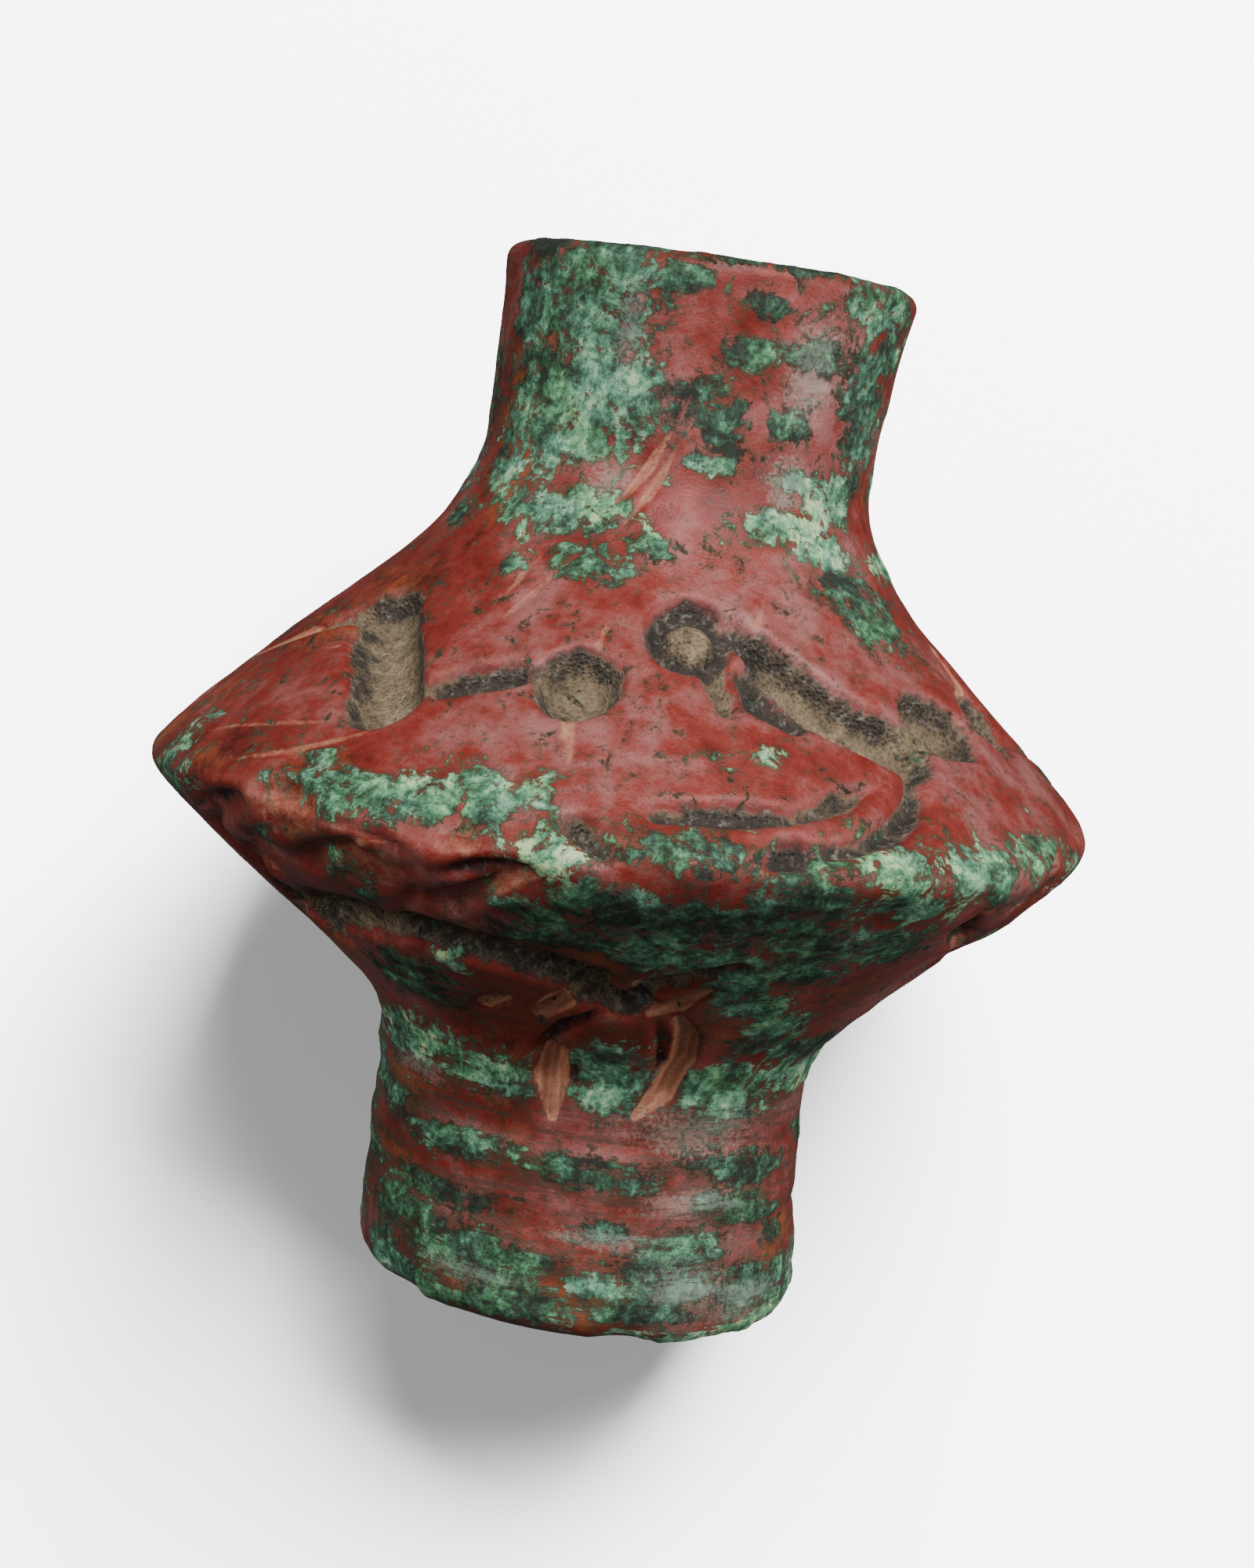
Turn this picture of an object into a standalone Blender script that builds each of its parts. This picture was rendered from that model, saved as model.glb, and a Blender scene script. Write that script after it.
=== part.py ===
"""A small copper roller seal, cast and then engraved.

Two cones meet at a ridge, and each cone ends in a plain neck, so the seal is one solid.
A frieze of running beasts is cut into each cone with drill and graver, feet towards the
ridge: three horned beasts and a lion on the cone of the narrow neck, two horned beasts
and a lion on the cone of the wide neck.

Everything is in metres with +Z up. The seal is shaped along its own axis, the narrow neck
up, and then laid on the floor, where it rests on its ridge and the rim of the wide neck.
"""

import math
from collections import namedtuple

import bmesh
import bpy
import numpy as np
from mathutils import Vector

# The turned body. Lengths along the axis start at the ridge.
RIDGE_RADIUS = 0.0108
RIDGE_BLUNTING = 0.00045
WIDE_CONE_LENGTH = 0.0055
WIDE_NECK_LENGTH = 0.0065
WIDE_NECK_RADIUS = 0.0051
WIDE_NECK_FLARE = 0.0002
WIDE_EDGE_ROUNDING = 0.0007
WIDE_FILLET = 0.0010
NARROW_CONE_LENGTH = 0.0062
NARROW_NECK_LENGTH = 0.0059
NARROW_NECK_RADIUS = 0.0044
NARROW_NECK_FLARE = 0.0004
NARROW_EDGE_ROUNDING = 0.00035
NARROW_FILLET = 0.0021

# Shallow grooves that a tool left round the wide neck, counted from its cone.
GROOVES = 2
FIRST_GROOVE = 0.0018
GROOVE_SPACING = 0.0020
GROOVE_WIDTH = 0.0007
GROOVE_DEPTH = 0.00012

# How far the hand-made body is from true: the ridge's circle is off centre and its plane
# leans, and the axis bows, so that both ends stand off to one side.
RIDGE_SHIFT = 0.0005
RIDGE_SHIFT_TOWARDS = math.radians(-20)
RIDGE_LEAN = 0.0003
RIDGE_LEAN_TOWARDS = math.radians(115)
RIDGE_WAVE = 0.00012
RIDGE_WAVES = 5
BOW = 0.00055
BOW_TOWARDS = math.radians(136)

# The narrow end's chipped side: a slope that starts on the end face, off the axis.
CHIP_TOWARDS = math.radians(170)
CHIP_START = 0.0012
CHIP_SLOPE = math.radians(29)

# What the floor has worn off where the seal lies on it.
FLAT_WORN = 0.00018

# The tools: how deep each goes, and half the width that the small ones leave.
DRILL_DEPTH = 0.00072
GOUGE_DEPTH = 0.00048
LEG_DEPTH = 0.00028
HOOF_DEPTH = 0.00038
FINE_DEPTH = 0.00024
LEG_WIDTH = 0.00031
LEG_END_WIDTH = 0.00026
THIGH_WIDTH = 0.00043
HOOF_WIDTH = 0.00040
TAIL_WIDTH = 0.00026
HORN_WIDTH = 0.00028
HORN_TIP_WIDTH = 0.00018

# How fine the faceted skin is.
COLUMNS = 44
OUTLINE_TOLERANCE = 0.00004
OUTLINE_SAMPLES = 600
STROKE_STEP = 0.0020
DRILL_SIDES = 12
GOUGE_SIDES = 10
GRAVER_SIDES = 5
WIDEST_GRAVER = 0.0005

COPPER_RED = (0.33, 0.075, 0.055, 1.0)
COPPER_ROUGHNESS = 0.5
COPPER_METALLIC = 0.3

# A beast is drawn on the rolled-out cone in hundredths of the cone's slope. Its origin is
# on the ridge below its haunch, which stands at an angle in degrees round the seal. Way is
# 1 for a beast that runs to the right when the narrow neck is up, and -1 to the left.
Beast = namedtuple(
    "Beast", "at way rise haunch belly barrel chest neck head muzzle fore hind tail horns"
)
Cut = namedtuple("Cut", "path width end_width depth drilled")


def leg(*bones):
    """A leg as (length, swing in degrees forward of straight down) for each bone."""
    return [(length, math.radians(swing)) for length, swing in zip(bones[::2], bones[1::2])]


NARROW_FRIEZE = (
    Beast(at=-10, way=-1, rise=48, haunch=12, belly=5, barrel=40, chest=35, neck=(42, 28), head=8,
          muzzle=(24, -22), fore=(leg(12, 33, 23, 70), leg(28, 66)),
          hind=(leg(18, -3, 18, -16), leg(18, -50)), tail="none", horns="curl"),
    Beast(at=71, way=-1, rise=47, haunch=12, belly=10, barrel=46, chest=36, neck=(50, 31), head=9.5,
          muzzle=(-8, -22), fore=(leg(11, 10, 29, 65), leg(27, 61, 18, 90)),
          hind=(leg(22, -47, 20, 47),), tail="knob", horns="none"),
    Beast(at=118, way=1, rise=48, haunch=13.5, belly=9, barrel=45, chest=38, neck=(19, 22), head=9,
          muzzle=(39, -24), fore=(leg(20, 12, 13, 50, 19, 74), leg(16, 62, 24, 74)),
          hind=(leg(23, -36), leg(20, -20)), tail="raised", horns="none"),
    Beast(at=-98, way=-1, rise=50, haunch=10.5, belly=6, barrel=31, chest=33, neck=(21, 19), head=9.5,
          muzzle=(8, -21), fore=(leg(12, 33, 23, 70), leg(28, 66)),
          hind=(leg(28, -43), leg(24, -24)), tail="knob", horns="ears"),
)
WIDE_FRIEZE = (
    Beast(at=-55, way=1, rise=56, haunch=13, belly=10, barrel=54, chest=44, neck=(44, 26), head=11,
          muzzle=(22, -24), fore=(leg(26, -6), leg(20, 49, 16, -62)),
          hind=(leg(20, -11, 27, 58), leg(11, 35, 16, 72)), tail="knob", horns="straight"),
    Beast(at=66, way=1, rise=48, haunch=14, belly=6, barrel=50, chest=36, neck=(24, 26), head=10,
          muzzle=(33, -10), fore=(leg(43, 60), leg(36, 70)),
          hind=(leg(28, -38, 16, 63),), tail="knob", horns="waved"),
    Beast(at=189, way=1, rise=53, haunch=15, belly=9, barrel=68, chest=40, neck=(33, 25), head=10.5,
          muzzle=(20, -6), fore=(leg(22, 33, 15, -50), leg(31, 71)),
          hind=(leg(28, -15, 37, 79),), tail="hanging", horns="none"),
)

# Tails bend through these points, in shares of the haunch from its middle.
TAILS = {
    "none": [],
    "knob": [(-0.7, 0.7), (-1.4, 1.7)],
    "raised": [(-1.0, 0.0), (-1.6, 0.9), (-0.9, 1.7), (0.8, 1.3), (2.1, 1.6), (3.2, 2.7), (2.2, 3.5)],
    "hanging": [(-0.9, 0.3), (-2.2, 0.2), (-2.9, -0.8), (-2.2, -1.8), (-2.8, -3.0), (-3.0, -3.8)],
}
# Each horn bends through these points, in shares of the head from its middle.
HORNS = {
    "none": [],
    "ears": [[(0.0, 1.2), (1.2, 2.9)], [(-1.7, 0.2), (-0.7, 0.5)]],
    "curl": [[(-0.2, 0.9), (0.7, 1.0), (1.0, 0.0), (0.5, -0.9)]],
    "straight": [[(-1.5, 3.5), (-1.4, 0.6)], [(3.0, 2.6), (1.6, 0.5)], [(-3.2, 1.1), (-2.4, 0.3)]],
    "waved": [
        [(0.5, 0.8), (2.2, 1.6), (1.9, 3.0), (3.4, 3.6), (3.2, 5.0)],
        [(-0.4, 0.9), (0.7, 1.8), (-0.4, 2.9), (0.4, 4.0)],
        [(-1.6, 0.2), (-2.9, 0.9), (-2.6, 2.4)],
    ],
}


def smooth_max(first, second, reach):
    """The larger of two values, rounded over where they differ by less than the reach."""
    near = np.maximum(reach - np.abs(first - second), 0.0)
    return np.maximum(first, second) + near**2 / (4.0 * reach)


def half_outline(cone_length, neck_length, radius, flare, rounding, fillet):
    """Heights and radii of one half, from the ridge to the rim of its flat end.

    The neck widens by its flare, as the square of the way from the cone to its end."""
    length = cone_length + neck_length
    height = np.linspace(0.0, length - rounding, OUTLINE_SAMPLES)
    slope = (RIDGE_RADIUS - radius) / (cone_length - RIDGE_BLUNTING)
    cone = RIDGE_RADIUS - slope * (np.hypot(height, RIDGE_BLUNTING) - RIDGE_BLUNTING)
    neck = radius + flare * (np.maximum(height - cone_length, 0.0) / neck_length) ** 2
    side = smooth_max(cone, neck, fillet)
    turn = np.linspace(0.0, math.pi / 2, 16)[1:]
    arc_height = length - rounding + rounding * np.sin(turn)
    arc_radius = side[-1] - rounding + rounding * np.cos(turn)
    return np.r_[height, arc_height], np.r_[side, arc_radius]


def outline():
    """Arc length from the ridge, height and radius, from the wide end to the narrow end."""
    wide_height, wide_radius = half_outline(
        WIDE_CONE_LENGTH, WIDE_NECK_LENGTH, WIDE_NECK_RADIUS,
        WIDE_NECK_FLARE, WIDE_EDGE_ROUNDING, WIDE_FILLET,
    )
    for groove in range(GROOVES):
        middle = WIDE_CONE_LENGTH + FIRST_GROOVE + groove * GROOVE_SPACING
        wide_radius -= GROOVE_DEPTH * np.exp(-(((wide_height - middle) / (GROOVE_WIDTH / 2)) ** 2))
    narrow_height, narrow_radius = half_outline(
        NARROW_CONE_LENGTH, NARROW_NECK_LENGTH, NARROW_NECK_RADIUS,
        NARROW_NECK_FLARE, NARROW_EDGE_ROUNDING, NARROW_FILLET,
    )
    height = np.r_[-wide_height[:0:-1], narrow_height]
    radius = np.r_[wide_radius[:0:-1], narrow_radius]
    arc = np.r_[0.0, np.cumsum(np.hypot(np.diff(height), np.diff(radius)))]
    return arc - arc[len(wide_height) - 1], height, radius


ARC, HEIGHT, RADIUS = outline()


def turned_point(around, arc):
    """Points of the true turned body. Around is 0 at the front and grows to the right."""
    radius = np.interp(arc, ARC, RADIUS)
    height = np.interp(arc, ARC, HEIGHT)
    return np.stack([radius * np.sin(around), -radius * np.cos(around), height], axis=-1)


def hand_made(point, around):
    """Moves points of the true body to where the hand-made one has them.

    The share of the ridge's errors is 0 on the necks and 1 at the ridge. The bow grows as
    the square of the height, and does not tilt the flat ends."""
    radius = np.hypot(point[..., 0], point[..., 1])
    share = np.clip((radius - WIDE_NECK_RADIUS) / (RIDGE_RADIUS - WIDE_NECK_RADIUS), 0.0, 1.0)
    bow = BOW * (point[..., 2] / (NARROW_CONE_LENGTH + NARROW_NECK_LENGTH)) ** 2
    moved = point.copy()
    moved[..., 0] += share * RIDGE_SHIFT * math.sin(RIDGE_SHIFT_TOWARDS) + bow * math.sin(BOW_TOWARDS)
    moved[..., 1] -= share * RIDGE_SHIFT * math.cos(RIDGE_SHIFT_TOWARDS) + bow * math.cos(BOW_TOWARDS)
    lean = RIDGE_LEAN * np.cos(around - RIDGE_LEAN_TOWARDS)
    wave = RIDGE_WAVE * np.sin(RIDGE_WAVES * around)
    moved[..., 2] += share * (lean + wave * share**2)
    return moved


def skin_point(around, arc):
    """Where the hand-made body's skin is, before engraving."""
    return hand_made(turned_point(around, arc), around)


def skin_normal(around, arc):
    """The way out of the skin, from the steps to its neighbours round and along the body."""
    turn = 1e-4
    step = RIDGE_RADIUS * turn
    round_it = skin_point(around + turn, arc) - skin_point(around - turn, arc)
    along_it = skin_point(around, arc + step) - skin_point(around, arc - step)
    normal = np.cross(round_it, along_it)
    return normal / np.linalg.norm(normal, axis=-1, keepdims=True)


def limb_path(start, bones, unit):
    points = [start]
    for length, swing in bones:
        along, up = points[-1]
        points.append((along + length * unit * math.sin(swing), up - length * unit * math.cos(swing)))
    return points


def bent_path(origin, size, bends):
    """A path whose inner corners are quadratic arcs. The bends are in shares of the size."""
    knots = np.array(origin) + size * np.array(bends, float)
    middles = (knots[:-1] + knots[1:]) / 2
    path = [knots[0]]
    for before, corner, after in zip(middles[:-1], knots[1:-1], middles[1:]):
        path += [before, (before + 2 * corner + after) / 4, after]
    return [*path, knots[-1]]


def pit(place, width, depth):
    """A round pit, drilled straight in."""
    return Cut([place], width, width, depth, True)


def stroke(path, width, end_width, depth):
    """A stroke of the graver along a path."""
    return Cut(path, width, end_width, depth, False)


def beast_cuts(beast, unit):
    """The cuts of one beast, along the rolled-out cone and up from the ridge, in metres."""
    haunch, head, rise = beast.haunch * unit, beast.head * unit, beast.rise * unit
    barrel, chest, girth = beast.barrel * unit, beast.chest * unit, beast.belly * unit
    crown = (barrel + beast.neck[0] * unit, chest + beast.neck[1] * unit)
    throat = (crown[0] - 0.9 * head, crown[1] - 0.6 * head)
    nose = (crown[0] + beast.muzzle[0] * unit, crown[1] + beast.muzzle[1] * unit)
    cheek = ((crown[0] + nose[0]) / 2, (crown[1] + nose[1]) / 2)
    loin = (haunch + 0.6 * girth, 0.7 * rise + 0.3 * chest)
    ribs = (barrel - 0.7 * haunch - 0.3 * girth, 0.3 * rise + 0.7 * chest)
    cuts = [
        pit((0.0, rise), haunch, DRILL_DEPTH),
        stroke([loin, ribs], girth, girth, GOUGE_DEPTH),
        stroke([(barrel, chest), throat], 0.88 * haunch, 0.7 * haunch, DRILL_DEPTH),
        pit(crown, head, 0.8 * DRILL_DEPTH),
        stroke([cheek, nose], 0.45 * head, 0.55 * head, GOUGE_DEPTH),
    ]
    for shoulder, bones in zip((0.1, 1.1), beast.fore):
        path = limb_path((barrel + shoulder * haunch, chest - 0.9 * haunch), bones, unit)
        cuts.append(stroke(path, LEG_WIDTH, LEG_END_WIDTH, LEG_DEPTH))
        cuts.append(pit(path[-1], HOOF_WIDTH, HOOF_DEPTH))
    for hip, bones in zip((-0.5, 0.5), beast.hind):
        path = limb_path((hip * haunch, rise - 0.8 * haunch), bones, unit)
        cuts.append(stroke(path, THIGH_WIDTH, LEG_END_WIDTH, LEG_DEPTH))
        cuts.append(pit(path[-1], HOOF_WIDTH, HOOF_DEPTH))
    if TAILS[beast.tail]:
        path = bent_path((0.0, rise), haunch, TAILS[beast.tail])
        cuts.append(stroke(path, TAIL_WIDTH, TAIL_WIDTH, FINE_DEPTH))
    for horn in HORNS[beast.horns]:
        cuts.append(stroke(bent_path(crown, head, horn), HORN_WIDTH, HORN_TIP_WIDTH, FINE_DEPTH))
    return cuts


def short_steps(path):
    """The same path as an array, with no step longer than the stroke step."""
    corners = np.array(path, float)
    points = [corners[:1]]
    for start, end in zip(corners[:-1], corners[1:]):
        count = max(1, math.ceil(math.dist(start, end) / STROKE_STEP))
        share = np.arange(1, count + 1)[:, None] / count
        points.append(start + share * (end - start))
    return np.concatenate(points)


def ring(centre, along, up, radius, sides):
    """Points of a circle across the direction called along."""
    across = np.cross(along, up)
    across /= np.linalg.norm(across)
    up = np.cross(across, along)
    turn = 2 * math.pi * np.arange(sides) / sides
    return centre + radius * (np.outer(np.cos(turn), across) + np.outer(np.sin(turn), up))


def add_swept_ball(cutter, centres, ups, radii, sides):
    """Adds what a ball sweeps along the centres: rings across the path, domed at both ends."""
    ways = np.gradient(centres, axis=0)
    ways /= np.linalg.norm(ways, axis=1, keepdims=True)
    dome_angles = np.radians([50, 0] if sides > GRAVER_SIDES else [0])

    def dome(end, sign):
        return [
            ring(centres[end] + sign * radii[end] * math.sin(angle) * ways[end],
                 ways[end], ups[end], radii[end] * math.cos(angle), sides)
            for angle in dome_angles
        ]

    middle = [ring(*place, sides) for place in zip(centres, ways, ups, radii)][1:-1]
    rings = dome(0, -1) + middle + dome(-1, 1)[::-1]
    loops = [[cutter.verts.new(point) for point in points] for points in rings]
    first = cutter.verts.new(centres[0] - radii[0] * ways[0])
    last = cutter.verts.new(centres[-1] + radii[-1] * ways[-1])
    for k in range(sides):
        after = (k + 1) % sides
        for here, there in zip(loops, loops[1:]):
            cutter.faces.new((here[k], here[after], there[after], there[k]))
        cutter.faces.new((first, loops[0][after], loops[0][k]))
        cutter.faces.new((last, loops[-1][k], loops[-1][after]))


def cutting_tool(cut, around, arc):
    """A round-nosed tool, sunk so that it leaves the half width and depth asked for.

    A ball that sinks by depth d and leaves a half width w has radius (w^2 + d^2) / 2d."""
    half_width = np.linspace(cut.width, cut.end_width, len(arc))
    radii = (half_width**2 + cut.depth**2) / (2 * cut.depth)
    normals = skin_normal(around, arc)
    centres = skin_point(around, arc) + normals * (radii - cut.depth)[:, None]
    cutter = bmesh.new()
    if cut.drilled:
        shank = centres[0] + np.outer([0.0, radii[0]], normals[0])
        aside = np.cross(normals[0], (0.0, 0.0, 1.0))
        add_swept_ball(cutter, shank, np.array([aside, aside]), radii.repeat(2), DRILL_SIDES)
    else:
        sides = GRAVER_SIDES if radii.max() < WIDEST_GRAVER else GOUGE_SIDES
        add_swept_ball(cutter, centres, normals, radii, sides)
    bmesh.ops.recalc_face_normals(cutter, faces=cutter.faces[:])
    mesh = bpy.data.meshes.new("tool")
    cutter.to_mesh(mesh)
    cutter.free()
    tool = bpy.data.objects.new("tool", mesh)
    bpy.context.scene.collection.objects.link(tool)
    return tool


def beast_tools(beast, side, neck_radius, cone_length):
    """A tool for each cut of one beast. Side is 1 on the narrow neck's cone, -1 on the wide one's."""
    unit = math.hypot(cone_length, RIDGE_RADIUS - neck_radius) / 100
    middle_radius = (RIDGE_RADIUS + neck_radius) / 2
    for cut in beast_cuts(beast, unit):
        path = short_steps(cut.path)
        around = math.radians(beast.at) + beast.way * path[:, 0] / middle_radius
        yield cutting_tool(cut, around, side * path[:, 1])


def bowed_rows(first, last):
    """Arc lengths between two others, close enough for straight lines to follow the outline."""
    middle = (first + last) / 2
    bow = math.hypot(*(
        np.interp(middle, ARC, line) - (np.interp(first, ARC, line) + np.interp(last, ARC, line)) / 2
        for line in (HEIGHT, RADIUS)
    ))
    if bow < OUTLINE_TOLERANCE:
        return []
    return bowed_rows(first, middle) + [middle] + bowed_rows(middle, last)


def blank_rows():
    """Arc lengths of the body's rings: each half in quarters, and more where it bends."""
    starts = [*np.linspace(ARC[0], 0.0, 5), *np.linspace(0.0, ARC[-1], 5)[1:]]
    rows = starts[:1]
    for first, last in zip(starts[:-1], starts[1:]):
        rows += bowed_rows(first, last) + [last]
    return rows


def blank_body():
    """The body before engraving, as rings of points closed by a flat face at each end."""
    body = bmesh.new()
    turns = 2 * math.pi * np.arange(COLUMNS) / COLUMNS
    rings = [
        [body.verts.new(point) for point in skin_point(turns, np.full(COLUMNS, arc))]
        for arc in blank_rows()
    ]
    for lower, upper in zip(rings, rings[1:]):
        for k in range(COLUMNS):
            after = (k + 1) % COLUMNS
            body.faces.new((lower[k], lower[after], upper[after], upper[k]))
    body.faces.new(rings[0][::-1])
    body.faces.new(rings[-1])
    bmesh.ops.triangulate(body, faces=[face for face in body.faces if len(face.verts) == 4])
    return body


def resting_tilt(points):
    """The tilt of the axis at which ridge and wide rim are equally low, by halving."""
    rim = points[:, 2] < -WIDE_CONE_LENGTH
    low, high = 0.0, math.pi / 3
    for _ in range(50):
        tilt = (low + high) / 2
        height = points[:, 2] * math.sin(tilt) - points[:, 1] * math.cos(tilt)
        if height[~rim].min() < height[rim].min():
            low = tilt
        else:
            high = tilt
    return tilt


def slice_off(body, point, outward):
    """Takes off what lies outward of a plane and closes the body with flat faces."""
    everything = body.verts[:] + body.edges[:] + body.faces[:]
    bmesh.ops.bisect_plane(body, geom=everything, plane_co=point, plane_no=outward, clear_outer=True)
    bmesh.ops.holes_fill(body, edges=body.edges[:], sides=0)
    bmesh.ops.recalc_face_normals(body, faces=body.faces[:])


def chip_narrow_end(body):
    """Breaks one side of the narrow end off along a slope."""
    aside = Vector((math.sin(CHIP_TOWARDS), -math.cos(CHIP_TOWARDS), 0.0))
    up = Vector((0.0, 0.0, 1.0))
    start = aside * CHIP_START + up * (NARROW_CONE_LENGTH + NARROW_NECK_LENGTH)
    slice_off(body, start, aside * math.sin(CHIP_SLOPE) + up * math.cos(CHIP_SLOPE))


def wear_flats(body, tilt):
    """Cuts the body level with the floor and returns that level, from the middle of the ridge."""
    points = np.array([vert.co[:] for vert in body.verts])
    lowest = (points[:, 2] * math.sin(tilt) - points[:, 1] * math.cos(tilt)).min()
    level = lowest + FLAT_WORN
    down = Vector((0.0, math.cos(tilt), -math.sin(tilt)))
    slice_off(body, -down * level, down)
    return level


def copper():
    material = bpy.data.materials.new("copper")
    material.use_nodes = True
    shader = material.node_tree.nodes["Principled BSDF"]
    shader.inputs["Base Color"].default_value = COPPER_RED
    shader.inputs["Roughness"].default_value = COPPER_ROUGHNESS
    shader.inputs["Metallic"].default_value = COPPER_METALLIC
    return material


def lay_down(seal, tilt, level):
    """Turns the seal onto its flats, with the middle of its box over the origin."""
    seal.rotation_euler.x = tilt - math.pi / 2
    turn = seal.rotation_euler.to_matrix()
    corners = np.array([(turn @ vert.co)[:] for vert in seal.data.vertices])
    middle = (corners.min(axis=0) + corners.max(axis=0)) / 2
    seal.location = (-middle[0], -middle[1], -level)


def closed_bodies(solid):
    """The faces of each closed body, found by walking over edges that join just two faces."""
    unseen = set(solid.faces)
    while unseen:
        body = [unseen.pop()]
        for face in body:
            for edge in face.edges:
                if len(edge.link_faces) != 2:
                    continue
                for other in edge.link_faces:
                    if other in unseen:
                        unseen.remove(other)
                        body.append(other)
        yield body


def engrave(seal, tools):
    """Cuts with each tool, drops any crumb of metal left loose and clears the tools away."""
    for tool in tools:
        tool.parent = seal
        cut = seal.modifiers.new(tool.name, "BOOLEAN")
        cut.operation = "DIFFERENCE"
        cut.solver = "MANIFOLD"
        cut.object = tool
    bpy.context.view_layer.update()
    engraved = seal.evaluated_get(bpy.context.evaluated_depsgraph_get())
    solid = bmesh.new()
    solid.from_mesh(engraved.to_mesh())
    *crumbs, _ = sorted(closed_bodies(solid), key=len)
    bmesh.ops.delete(solid, geom=[face for crumb in crumbs for face in crumb], context="FACES")
    seal.modifiers.clear()
    solid.to_mesh(seal.data)
    solid.free()
    for tool in tools:
        bpy.data.objects.remove(tool)


def make_seal():
    body = blank_body()
    chip_narrow_end(body)
    tilt = resting_tilt(np.array([vert.co[:] for vert in body.verts]))
    level = wear_flats(body, tilt)
    mesh = bpy.data.meshes.new("seal")
    body.to_mesh(mesh)
    body.free()
    mesh.materials.append(copper())
    seal = bpy.data.objects.new("seal", mesh)
    bpy.context.scene.collection.objects.link(seal)
    lay_down(seal, tilt, level)
    tools = []
    for beast in NARROW_FRIEZE:
        tools += beast_tools(beast, 1, NARROW_NECK_RADIUS, NARROW_CONE_LENGTH)
    for beast in WIDE_FRIEZE:
        tools += beast_tools(beast, -1, WIDE_NECK_RADIUS, WIDE_CONE_LENGTH)
    engrave(seal, tools)
    print("tilt of the axis, degrees:", round(math.degrees(tilt), 3))


for old in list(bpy.data.objects):
    bpy.data.objects.remove(old)
make_seal()
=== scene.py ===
# %% [markdown]
# # A copper roller seal
#
# The real thing is one small lump of cast copper, about as long as a thumb joint. Two cones
# meet at a ridge and each ends in a plain neck. Running beasts were drilled and cut into both
# cones, so that the seal prints a frieze when it is rolled over wet clay. After thousands of
# years in the ground the metal is brick red, under patches of green.
#
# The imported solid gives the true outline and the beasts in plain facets. This lesson lays one
# finer skin in its place. The skin is a grid of two numbers, the angle round the seal and the
# way along its outline, and every dent, cut and crust is a sum over that grid.

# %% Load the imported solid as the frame
import math
from collections import namedtuple

import bpy
import numpy as np
from mathutils import Matrix, Vector


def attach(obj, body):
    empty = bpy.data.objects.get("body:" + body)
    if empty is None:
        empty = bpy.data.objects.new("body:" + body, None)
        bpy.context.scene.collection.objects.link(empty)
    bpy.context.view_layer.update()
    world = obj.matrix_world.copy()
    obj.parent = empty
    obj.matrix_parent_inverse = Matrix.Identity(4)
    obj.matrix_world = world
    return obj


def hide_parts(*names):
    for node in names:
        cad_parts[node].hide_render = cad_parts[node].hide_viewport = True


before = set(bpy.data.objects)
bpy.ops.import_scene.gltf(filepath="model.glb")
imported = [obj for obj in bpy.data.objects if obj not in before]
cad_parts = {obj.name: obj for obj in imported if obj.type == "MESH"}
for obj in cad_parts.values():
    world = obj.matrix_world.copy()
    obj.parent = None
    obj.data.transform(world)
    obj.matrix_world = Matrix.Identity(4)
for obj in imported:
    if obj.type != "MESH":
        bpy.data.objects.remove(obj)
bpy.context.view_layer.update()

MM = 0.001

# %% [markdown]
# ## The outline
#
# A potter's or founder's shape like this is turned, so a single outline describes it: a cone
# and a neck on each side of the ridge, joined by a soft fillet, with a rounded rim at each
# end. It could be drawn as a curve and spun. Here it is worked out as heights and radii, in
# millimetres, because the relief needs to know how far along the outline each point lies.

# %% Sizes of the turned body, in millimetres
RIDGE_RADIUS, RIDGE_BLUNTING = 10.8, 0.45
Half = namedtuple("Half", "cone neck radius flare rounding fillet")
WIDE = Half(cone=5.5, neck=6.5, radius=5.1, flare=0.2, rounding=0.7, fillet=1.0)
NARROW = Half(cone=6.2, neck=5.9, radius=4.4, flare=0.4, rounding=0.35, fillet=2.1)
GROOVES = (7.3, 9.3)
GROOVE_WIDTH, GROOVE_DEPTH = 0.7, 0.08
# How finely each half's outline is sampled: its side, the round of its rim and its flat end.
SIDE_POINTS, RIM_POINTS, FACE_POINTS = 900, 23, 39
RIM_END = SIDE_POINTS + RIM_POINTS - 1


def smooth_max(first, second, reach):
    """The larger of two values, rounded over where they differ by less than the reach."""
    near = np.maximum(reach - np.abs(first - second), 0.0)
    return np.maximum(first, second) + near**2 / (4.0 * reach)


def half_outline(half, grooves=()):
    """Heights and radii from the ridge, round the rim, to the middle of the flat end.

    The side is the larger of a straight cone and a neck that widens as the square of the way
    along it. The rim is a quarter circle, and each groove is a dip shaped like a bell."""
    length = half.cone + half.neck
    height = np.linspace(0.0, length - half.rounding, SIDE_POINTS)
    slope = (RIDGE_RADIUS - half.radius) / (half.cone - RIDGE_BLUNTING)
    cone = RIDGE_RADIUS - slope * (np.hypot(height, RIDGE_BLUNTING) - RIDGE_BLUNTING)
    neck = half.radius + half.flare * (np.maximum(height - half.cone, 0.0) / half.neck) ** 2
    side = smooth_max(cone, neck, half.fillet)
    for middle in grooves:
        side -= GROOVE_DEPTH * np.exp(-(((height - middle) / (GROOVE_WIDTH / 2)) ** 2))
    turn = np.linspace(0.0, math.pi / 2, RIM_POINTS + 1)[1:]
    rim_height = length - half.rounding * (1.0 - np.sin(turn))
    rim_radius = side[-1] - half.rounding * (1.0 - np.cos(turn))
    face_radius = np.linspace(rim_radius[-1], 0.0, FACE_POINTS + 1)[1:]
    face_height = np.full(FACE_POINTS, length)
    return np.r_[height, rim_height, face_height], np.r_[side, rim_radius, face_radius]


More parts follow.
